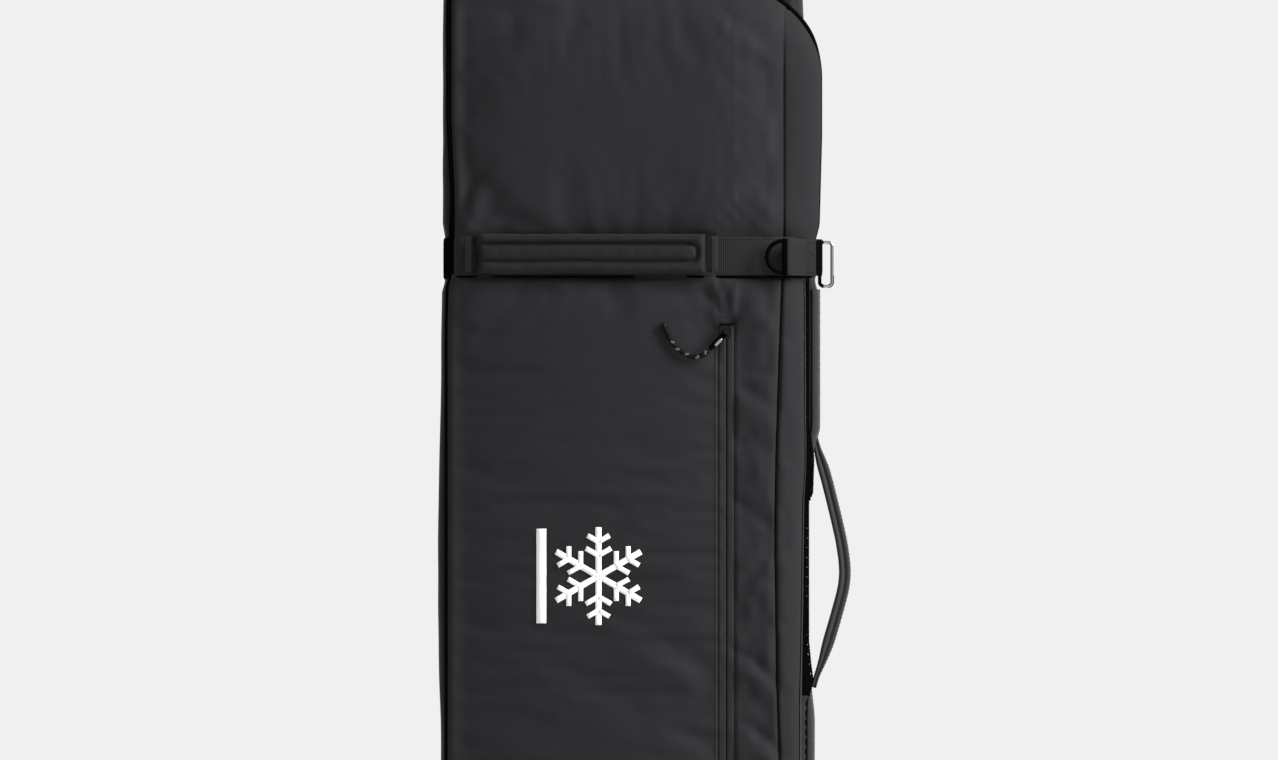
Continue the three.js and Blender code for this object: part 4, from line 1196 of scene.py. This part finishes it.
def build_grab_handle():
    low, high = box_of("grab_handle_pad")
    x0, x1, z0, z1 = low.x + 1, high.x - 0.5, low.z, high.z
    base_y = high.y - 1.2
    z_lines = [0.0, 0.31, 0.75, 1.0]  # edges and sewn lines up the pad
    end_x = x1 - 8
    columns, rows = 106, 27
    s, t = np.meshgrid(np.linspace(0, 1, columns), np.linspace(0, 1, rows))
    x, z = x0 + (x1 - x0) * s, z0 + (z1 - z0) * t
    z = z - pad_sag(x) * (1 - t) ** 1.4
    sheet = np.stack([x, np.full_like(x, base_y), z], axis=-1)
    edge = (s == 0) | (s == 1) | (t == 0) | (t == 1)
    loop_middle, loop_half = (z_lines[1] + z_lines[2]) / 2, (z_lines[2] - z_lines[1]) / 2
    from_loop = np.abs(np.hypot(np.maximum(x - end_x + 7, 0) / 7.5 * loop_half, t - loop_middle) - loop_half)
    sewn = from_loop < 0.024
    held = edge | sewn
    lines = np.minimum.reduce([np.abs(t), np.abs(1 - t), from_loop, (1 - s) * 6, s * 6])
    height = 4.6 * np.sqrt(np.clip(lines / 0.13, 0, 1))
    start = sheet.copy()
    start[..., 1] -= 1.5 * ~held
    start[..., 1] -= 0.3 * wobble(start, 16, 2.7) * ~held
    settled = inflate(start, held, 5.0, 0.006, 20, 12.0)
    height = 0.8 * height + 0.55 * np.clip(base_y - settled[..., 1], 0, 6.4)
    lift = np.where(edge, 0.8, 1.7)
    front = sheet.copy()
    front[..., 1] = base_y - lift - np.minimum(height, 6.6) * np.where(sewn, 0.1, 1)
    n = rows * columns
    points = np.concatenate([front.reshape(-1, 3), sheet.reshape(-1, 3) + np.array([0, 1.0, 0])])
    faces = grid_faces(rows, columns) + [tuple(v + n for v in f[::-1]) for f in grid_faces(rows, columns)]
    edge_loop = border(rows, columns)
    faces += [(b, a, a + n, b + n) for a, b in zip(edge_loop, edge_loop[1:] + edge_loop[:1])]
    pad = piece("grab_handle_padded", points, faces, PAD_CLOTH, "grab_handle", "webbing", ["grab_handle_pad"])
    subdivide = pad.modifiers.new("smooth", "SUBSURF")
    subdivide.levels = subdivide.render_levels = 1
    bpy.context.view_layer.objects.active = pad
    bpy.ops.object.modifier_apply(modifier="smooth")
    bend = np.radians(np.linspace(-90, 90, 16))
    across = np.linspace(x0 + 3, end_x - 7, 60)
    loop_x = np.concatenate([across, end_x - 7 + 7.5 * np.cos(bend), across[::-1]])
    loop_t = loop_middle + loop_half * np.sin(bend)
    loop_t = np.concatenate([np.full(60, z_lines[1]), loop_t, np.full(60, z_lines[2])])
    loop_z = z0 + (z1 - z0) * loop_t - pad_sag(loop_x) * (1 - loop_t) ** 1.4
    loop = np.stack([loop_x, np.full_like(loop_x, base_y - 2.2), loop_z], axis=1)
    away = np.broadcast_to(FRONT, loop.shape)
    stitches("grab_handle_stitches", [(loop, away)], PAD_CLOTH, "grab_handle", 3.2, 2.4, 0.36, "webbing")
    for side, inner in (("left", low.x), ("right", high.x)):
        tab_low, tab_high = box_of(f"grab_handle_tab_{side}")
        xs = np.linspace(tab_low.x, tab_high.x, 14)
        middle = (tab_low.z + tab_high.z) / 2
        ends = np.abs(xs - (tab_high.x if side == "left" else tab_low.x))
        y = np.interp(ends, [0, 4, 12], [-71.2, -69.9, -68.9])
        path = np.stack([xs, y, np.full(14, middle)], axis=1)
        out = np.broadcast_to(FRONT, path.shape)
        tab = flat_ribbon(f"grab_handle_tab_{side}_webbing", path, out, 33, 1.7, WEBBING, "lid", "webbing",
                          [f"grab_handle_tab_{side}"])
        # Painted shade from the pad: the tab's faces within 5.4 mm of it take the darker cloth.
        recolour(tab, TAB_PAINTED_SHADE, lambda face: abs(face.center.x / MM - inner) < 5.4)
        across = np.linspace(-14, 14, 16)
        rows = []
        for x in (tab_low.x + 3, tab_high.x - 4):
            height = float(np.interp(x, xs, y)) - 0.9
            rows.append((np.stack([np.full(16, x), np.full(16, height), middle + across], axis=1),
                         np.broadcast_to(FRONT, (16, 3))))
        stitches(f"grab_handle_tab_{side}_stitches", rows, THREAD, "lid", 2.4, 1.8, 0.34, "webbing")


build_grab_handle()


# ---- seam and pocket zip on the front ------------------------------------------------------------
def on_lid(x, z, lift):
    """Points lifted off the lid's finished front, and the directions that they were lifted in."""
    x, z = np.broadcast_arrays(np.asarray(x, float), np.asarray(z, float))
    p = lid_surface(x, z)
    e = 0.5
    across = lid_surface(x + e, z) - lid_surface(x - e, z)
    up = lid_surface(x, z + e) - lid_surface(x, z - e)
    out = unit(np.cross(across, up))
    return p + out * np.asarray(lift)[..., None], out


def build_seam():
    z = np.arange(LID["bottom"] + 12, SEAM_TOP, 4.0)
    points, out = on_lid(seam_x(z), z, 0.7)
    thickness = (1.25 - 0.95 * smooth(1090, 1180, z)) * smooth(SEAM_TOP, SEAM_TOP - 40, z) + 0.1
    bead("lid_seam_welt", points, out, thickness, 0.8, SEAM_CLOTH, "lid", "outer_fabric")


build_seam()


def build_piping():
    """Black piping round the lid's widest line, full at the top corner and down the hinge side."""
    points, normals = rounded_outline(LID, 4.0)
    inside = points - normals * 3.6
    edge = lid_surface(inside[:, 0], inside[:, 2], False)
    z = edge[:, 2]
    left = np.interp(z, [200, 1080, 1180, 1260], [1.3, 1.4, 2.2, 2.8])
    right = 0.45 + 1.9 * smooth(1306, 1342, z)
    radius = left + (right - left) * smooth(-150, -60, edge[:, 0])
    for level in STRAPS.values():
        radius = radius * (1 - 0.8 * np.exp(-(((z - level) / 21) ** 6)))
    angles = full_turn(8)
    centre = edge + normals * (0.3 + 0.8 * smooth(-120, -150, edge[:, 0]))[:, None]
    back = np.array(BACK)
    mesh_points = (centre[:, None] + normals[:, None] * (np.cos(angles) * radius[:, None])[..., None]
                   + back * (np.sin(angles) * radius[:, None])[..., None])
    rows, columns = mesh_points.shape[:2]
    faces = [f[::-1] for f in grid_faces(rows, columns, wrap_rows=True, wrap_columns=True)]
    piece("lid_piping", mesh_points, faces, BINDING, "lid", "outer_fabric")


def build_pocket_zip():
    z = np.arange(pocket_low + 1, pocket_high - 0.5, 2.2)
    tapes = (("left", POCKET_LEFT + 0.2, POCKET_MIDDLE - 0.45, [0.9, 1.5, 1.3]),
             ("right", POCKET_MIDDLE + 0.45, POCKET_RIGHT - 0.2, [1.3, 1.5, 0.9]))
    for side, x0, x1, lifts in tapes:
        xs = np.linspace(x0, x1, 6)
        lifted = np.interp(xs, [x0, (x0 + x1) / 2, x1], lifts)
        grid, _ = on_lid(xs[None, :], z[:, None], np.broadcast_to(lifted[None, :], (len(z), 6)))
        piece(f"pocket_zip_tape_{side}", *thick(grid, 0.7), POCKET_TAPE, "lid", "zip_tape",
              ["pocket_zip"] if side == "left" else [])
    z = np.arange(pocket_low + 2, pocket_high - 1, 0.8)
    points, out = on_lid(np.full_like(z, POCKET_MIDDLE), z, 0.7)
    coil = 0.85 + 0.3 * np.sin(z * 2 * math.pi / 1.6)
    bead("pocket_zip_coil", points, out, coil, 0.8, COIL, "lid", "zip_tape", (), 6)
    z = np.arange(pocket_low - 6, pocket_high + 5, 3.0)
    rows = [on_lid(np.full_like(z, x), z, 0.1) for x in (POCKET_LEFT - 2.6, POCKET_RIGHT + 2.6)]
    x = np.linspace(POCKET_LEFT - 2.6, POCKET_RIGHT + 2.6, 9)
    rows += [on_lid(x, np.full_like(x, end), 0.1) for end in (pocket_low - 6, pocket_high + 5)]
    stitches("pocket_zip_stitches", rows, THREAD, "lid", 3.4, 2.5, 0.32)
    for end, height in (("top", pocket_high - 0.6), ("bottom", pocket_low + 1.2)):
        xs = np.linspace(POCKET_LEFT + 1.2, POCKET_RIGHT - 1.2, 9)
        points, out = on_lid(xs, np.full_like(xs, height), 2.1)
        bead(f"pocket_zip_stop_{end}", points, out, 1.1, 0.6, SEAM_CLOTH, "lid", "zip_tape")


build_pocket_zip()


# ---- main zipper ---------------------------------------------------------------------------------
ZIP_START_X = -139
TOOTH_PITCH = 3.3
PUCKER_PITCH = 9
PLAIN_TAPE_TOP = 722
SLIDER_TRAVEL = 900  # of the upper slider, up the right side


def zip_run(step):
    """The zip line from its lower left end, round the right, to its upper left end."""
    points, normals = rounded_outline(LID, step)
    keep = points[:, 0] > ZIP_START_X
    along_bottom = (points[:, 2] < 200) & (points[:, 0] < LID["right"] - LID["r_right"] - 0.1)
    first_part = np.flatnonzero(keep & along_bottom)
    first_part = first_part[first_part > len(points) // 2]
    rest = [i for i in np.flatnonzero(keep) if i not in set(first_part)]
    order = list(first_part) + rest
    joined = resample(np.concatenate([points[order], normals[order]], axis=1), step)
    return joined[:, :3], unit(joined[:, 3:])


def zip_reach(points):
    """How far the zipper's ridge stands out along its run, against its usual 8 mm."""
    z, right = points[:, 2], smooth(100, 150, points[:, 0])
    heights = [250, 380, 700, 716, 728, 738, 750, 772, 900, 910, 942, 954, 975, 1080, 1150]
    reaches = [0.62, 0.62, 0.62, 0.7, 1.2, 1.4, 1.15, 0.85, 0.85, 1.4, 1.55, 1.3, 0.9, 0.9, 0.85]
    by_height = np.interp(z, heights, reaches)
    closed_end = centre_z("main_slider_upper")
    open_end = closed_end + SLIDER_TRAVEL
    near_open_end = smooth(open_end - 80, open_end - 55, z) * smooth(open_end + 45, open_end + 25, z)
    by_height += (float(np.interp(closed_end, heights, reaches)) - by_height) * near_open_end
    return 0.8 + (by_height - 0.8) * right


def build_main_zip():
    points, normals = zip_run(2.25)
    along = np.concatenate([[0], np.cumsum(np.linalg.norm(np.diff(points, axis=0), axis=1))])
    pucker = 1 + 0.13 * np.sin(along * 2 * math.pi / PUCKER_PITCH) * (1 + 0.6 * wobble(points, 60, 1.1))
    reach = (zip_reach(points) * pucker)[:, None]
    back = np.broadcast_to(BACK, points.shape)
    half = [(-2, -28.2), (2.4, -26.6), (6, -23.2), (7.6, -20.7), (7.4, -20.15), (6.2, -20.2), (4.6, -22.4),
            (1.6, -25), (-2, -26.8)]
    for body, sign in (("lid", 1), ("body", -1)):
        section = [(n, y if sign > 0 else 2 * ZIP_Y - y) for n, y in half]
        mesh_points, faces = sweep((points, normals * reach, back), section, False)
        if sign < 0:
            faces = [f[::-1] for f in faces]
        tape = piece(f"main_zip_tape_{body}", mesh_points, [f[::-1] for f in faces], TAPE, body, "zip_tape",
                     [f"main_zip_{body}_half"])

        def like_side_cloth(face):
            """True low on the right, where the tape has the look of the side panel's cloth."""
            place = face.center / MM
            return place.x > 120 and place.z < PLAIN_TAPE_TOP

        recolour(tape, SIDE_POLYESTER, like_side_cloth)
    teeth_points, teeth_normals = zip_run(TOOTH_PITCH)
    teeth_reach = zip_reach(teeth_points)
    run = unit(np.gradient(teeth_points, axis=0))
    for body, sign, shift in (("lid", -1, 0.0), ("body", 1, 0.5)):
        verts, faces = [], []
        for p, n, t, r in zip(teeth_points, teeth_normals, run, teeth_reach):
            p = p + t * TOOTH_PITCH * shift
            start = len(verts)
            for out in (6.9 * r, 6.9 * r + 2.0):
                shrink = 1.0 if out < 7 * r else 0.7
                for dy, ds in ((0.1, -1.0), (2.6, -1.0), (2.6, 1.0), (0.1, 1.0)):
                    place = p + n * out + t * ds * shrink
                    verts.append(place + np.array([0, ZIP_Y + sign * (dy if dy < 1 else dy * shrink), 0]))
            for k in range(4):
                following = (k + 1) % 4
                faces.append((start + k, start + following, start + 4 + following, start + 4 + k))
            faces += [(start + 4, start + 5, start + 6, start + 7), (start + 3, start + 2, start + 1, start)]
        if sign < 0:
            faces = [f[::-1] for f in faces]
        piece(f"main_zip_teeth_{body}", verts, faces, COIL, body, "zip_tape", (), True)


build_main_zip()
build_piping()


def build_hinge():
    """Cloth that bends where the lid is sewn to the body, down its straight left side."""
    z = np.arange(LID["bottom"] + 16, LID["top"] - 14, 10.0)
    profile = [(-158.5, -30.5), (-162.2, -27.2), (-165.3, -24), (-166.6, -20), (-166.4, -16), (-165, -13),
               (-160, -10.8)]
    profile = rounded_path(profile, 1.6, 2)
    grid = np.array([[(x - 0.5 * math.sin(k * 0.9), y, height) for x, y in profile]
                     for k, height in enumerate(z)])
    hinge = piece("hinge_cloth", *thick(grid, 1.2), TAPE, None, "outer_fabric", ["hinge_binding"])
    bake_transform(hinge)


build_hinge()


# ---- carry handle and webbing on the right side --------------------------------------------------
def build_side_webbing():
    outer = rounded_path([(-7.0, -13.2), (-4, -10.8), (-1.4, -5), (-0.2, 3), (0.4, 14), (0.4, 24)], 2.4, 2)
    run = np.gradient(outer, axis=0)
    away = unit(np.stack([run[:, 1], -run[:, 0]], axis=1))
    section = np.concatenate([outer + away * 2.4, (outer + away * 0.5)[::-1]])
    for which in ("upper", "lower"):
        low, high = box_of(f"side_webbing_{which}")
        z = np.arange(low.z, high.z + 1, 5.0)
        x = np.array([body_side(h, True) for h in z])
        path = np.stack([x, np.zeros_like(x), z], axis=1)
        right = np.broadcast_to([1.0, 0.0, 0.0], path.shape)
        back = np.broadcast_to(BACK, path.shape)
        points, faces = sweep((path, right, back), section, False)
        piece(f"side_webbing_{which}_strip", points, faces, WEBBING_UP, "body", "webbing",
              [f"side_webbing_{which}"])
        rows = []
        for k in (1, -2):
            line = path + np.array([outer[k, 0] + away[k, 0] * 2.4, outer[k, 1] + away[k, 1] * 2.4, 0])
            rows.append((line, np.repeat([[away[k, 0], away[k, 1], 0.0]], len(line), axis=0)))
        stitches(f"side_webbing_{which}_stitches", rows, THREAD, "body", 4.0, 2.9, 0.3, "webbing")


# Z and X along the middle of the handle.
HANDLE_LINE = [
    (728, 171.4), (737, 173.8), (753, 179.8), (772, 185.8), (791, 191.4), (809, 196.4),
    (820, 199.2), (832, 200.7), (845, 200.2), (865, 197.2), (884, 192.9), (903, 188.3),
    (921, 183.8), (938, 178.9), (950, 175.0), (962, 172.6),
]
HANDLE_WIDTH = 22.0
HANDLE_SEWN = (742, 938)  # Z at the ends of its stitch rows
# A quarter of the folded webbing's section, from its front fold to the middle of its outside, as shares of
# its thickness and its width.
FOLDED_EDGE = [(0.04, -0.44), (0.12, -0.492), (0.36, -0.5), (0.46, -0.475), (0.5, -0.41), (0.5, -0.2),
               (0.5, 0.0)]


def build_side_handle():
    line = rounded_path([(x, 11, z) for z, x in HANDLE_LINE], 3.0, 3)
    z = line[:, 2]
    origin, out, side = path_frames(line, (0, 1, 0))
    sign = 1 if out[len(out) // 2, 0] > 0 else -1
    thickness = 4.4 + 5.8 * smooth(735, 775, z) - 5.2 * smooth(930, 962, z)
    quarter = np.array(FOLDED_EDGE)
    outer = np.concatenate([quarter, quarter[-2::-1] * (1, -1)])
    section = np.concatenate([outer, outer[::-1] * (-1, 1)])
    points = (origin[:, None] + (out * sign)[:, None] * section[None, :, 0, None] * thickness[:, None, None]
              + side[:, None] * section[None, :, 1, None] * HANDLE_WIDTH)
    handle = piece("side_handle_folded", points, tube_faces(*points.shape[:2]), HANDLE_WEBBING, "side_handle",
                   "webbing", ["side_handle_webbing", "side_handle_grip"])
    edge = origin + (out * sign) * (thickness / 2 + 0.05)[:, None]
    inner = (z > HANDLE_SEWN[0]) & (z < HANDLE_SEWN[1])
    stitch_rows = []
    for share in (-0.36, 0.36):
        path = edge[inner] + side[inner] * (HANDLE_WIDTH * share)
        stitch_rows.append((path, (out * sign)[inner]))
    stitches("side_handle_stitches", stitch_rows, THREAD_LIGHT, "side_handle", 4.0, 3.0, 0.34, "webbing")


build_side_webbing()
build_side_handle()


# ---- loop at the nose ----------------------------------------------------------------------------
def build_nose_loop():
    low, high = box_of("nose_loop")
    middle_y = (low.y + high.y) / 2
    half = high.x - 2
    rise = high.z - low.z - 1.2
    t = np.linspace(0, 1, 41)
    x = half * np.cos(math.pi * t)
    z = low.z + 0.8 + rise * np.sin(math.pi * t) ** 0.75
    path = np.stack([x, np.full_like(x, middle_y), z], axis=1)
    path = rounded_path(path, 2.5, 3)
    origin, out, side = path_frames(path, (0, 1, 0))
    sign = 1 if out[len(out) // 2, 2] > 0 else -1
    points, faces = sweep((origin, out * sign, side), rounded_section(17, 1.9, 11), False)
    piece("nose_loop_webbing", points, faces, WEBBING_FLAT_X, "nose_loop", "webbing", ["nose_loop"])
    for side_name in ("left", "right"):
        low, high = box_of(f"nose_loop_foot_{side_name}")
        middle_x, width = (low.x + high.x) / 2, high.y - low.y
        angles = full_turn(24)
        outline = [((high.x - low.x) / 2 * np.sign(math.cos(a)) * abs(math.cos(a)) ** 0.6,
                    width / 2 * np.sign(math.sin(a)) * abs(math.sin(a)) ** 0.6) for a in angles]
        heights = [(low.z - 2.5, 1.12), (low.z + 0.6, 1.08), (low.z + 3, 0.96), (high.z - 2.2, 0.92),
                   (high.z - 0.6, 0.84), (high.z, 0.6)]
        points = np.array([[(middle_x + px * k, (low.y + high.y) / 2 + py * k, h) for px, py in outline]
                           for h, k in heights])
        piece(f"nose_loop_foot_{side_name}_webbing", points, tube_faces(len(heights), len(outline)),
              WEBBING_FLAT_X, "body", "webbing", [f"nose_loop_foot_{side_name}"])


build_nose_loop()


# ---- generic printed mark: a snowflake and a bar -------------------------------------------------
def printed_bar(start, end, width, lift):
    """A thin printed stripe between two places on the front, in X and Z."""
    a, b = np.array(start, float), np.array(end, float)
    length = np.linalg.norm(b - a)
    along = (b - a) / length
    across = np.array([-along[1], along[0]]) * width / 2
    steps = max(3, int(length / 3) + 1)
    centre = a + (b - a) * np.linspace(0, 1, steps)[:, None]
    lines = np.stack([centre - across, centre, centre + across], axis=1)
    grid, _ = on_lid(lines[..., 0], lines[..., 1], np.full(lines.shape[:2], lift))
    return thick(grid, 0.25)


SNOWFLAKE_CENTRE, SNOWFLAKE_REACH = (-29.0, 834.5), 45
ARM_WIDTH, TWIG_WIDTH = 5.6, 4.6
TWIGS = ((0.42, 0.30), (0.70, 0.26))  # place along the arm and length, as shares of the arm
BAR_ENDS, BAR_WIDTH = ((-81.5, 791), (-81.5, 878)), 9


def build_mark():
    """A snowflake of stripes, which lie at slightly different heights where they cross, and a plain bar."""
    centre, reach = np.array(SNOWFLAKE_CENTRE), SNOWFLAKE_REACH
    parts = []
    for k in range(6):
        angle = math.radians(60 * k + 90)
        direction = np.array([math.cos(angle), math.sin(angle)])
        parts.append((centre, centre + direction * reach, ARM_WIDTH, 0.34 + 0.01 * k))
        for at, length in TWIGS:
            for turn in (-60, 60):
                side = math.radians(60 * k + 90 + turn)
                root = centre + direction * reach * at
                tip = root + np.array([math.cos(side), math.sin(side)]) * reach * length
                parts.append((root, tip, TWIG_WIDTH, 0.42 + 0.01 * k + (0.03 if turn > 0 else 0)))
    points, faces = [], []
    for part in parts:
        part_points, part_faces = printed_bar(*part)
        start = sum(len(p) for p in points)
        points.append(part_points)
        faces += [tuple(v + start for v in f) for f in part_faces]
    piece("front_mark_snowflake", np.concatenate(points), faces, WHITE, "lid", "outer_fabric")
    piece("front_mark_bar", *printed_bar(*BAR_ENDS, BAR_WIDTH, 0.36), WHITE, "lid", "outer_fabric")


build_mark()


# ---- zip pulls that keep their CAD shape ---------------------------------------------------------
for node in ("pocket_slider", "main_slider_upper", "main_slider_lower", "main_pull_upper", "main_pull_lower"):
    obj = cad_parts[node]
    for material_slot in obj.material_slots:
        material_slot.material = SLIDER_METAL if node == "pocket_slider" else DARK_METAL


# ---- stage, light and colour ---------------------------------------------------------------------
def stage():
    plain = Nodes("stage_pale")
    plain.bsdf.inputs["Base Color"].default_value = (0.80, 0.80, 0.80, 1)
    plain.bsdf.inputs["Roughness"].default_value = 0.9
    floor = bpy.data.meshes.new("floor")
    r = 6.0
    floor.from_pydata([(-r, -r, 0), (r, -r, 0), (r, r, 0), (-r, r, 0)], [], [(0, 1, 2, 3)])
    floor.materials.append(plain.material)
    obj = bpy.data.objects.new("floor", floor)
    bpy.context.scene.collection.objects.link(obj)
    world = bpy.data.worlds.new("studio")
    world.use_nodes = True
    tree = world.node_tree
    background = tree.nodes["Background"]
    background.inputs[0].default_value = (0.871, 0.871, 0.871, 1)
    direction = tree.nodes.new("ShaderNodeSeparateXYZ")
    tree.links.new(tree.nodes.new("ShaderNodeTexCoord").outputs["Generated"], direction.inputs[0])
    from_left = tree.nodes.new("ShaderNodeMapRange")
    from_left.interpolation_type = "SMOOTHSTEP"
    for socket, value in zip(("From Min", "From Max", "To Min", "To Max"), (-0.8, -0.2, 0.52, 1.0)):
        from_left.inputs[socket].default_value = value
    tree.links.new(direction.outputs["X"], from_left.inputs["Value"])
    tree.links.new(from_left.outputs[0], background.inputs[1])
    bpy.context.scene.world = world
    bpy.context.scene.view_settings.view_transform = "Standard"


def soft_light(name, place, target, size, power):
    light = bpy.data.lights.new(name, "AREA")
    light.shape = "RECTANGLE"
    light.size, light.size_y = size
    light.energy = power
    obj = bpy.data.objects.new(name, light)
    obj.location = place
    obj.rotation_euler = (Vector(target) - Vector(place)).to_track_quat("-Z", "Y").to_euler()
    bpy.context.scene.collection.objects.link(obj)


stage()
soft_light("key_right", (1.8, -0.85, 2.1), (0, 0, 1.0), (0.7, 1.4), 104)
soft_light("rear", (0.9, 2.9, 1.9), (0, 0, 0.9), (1.4, 2.0), 34)
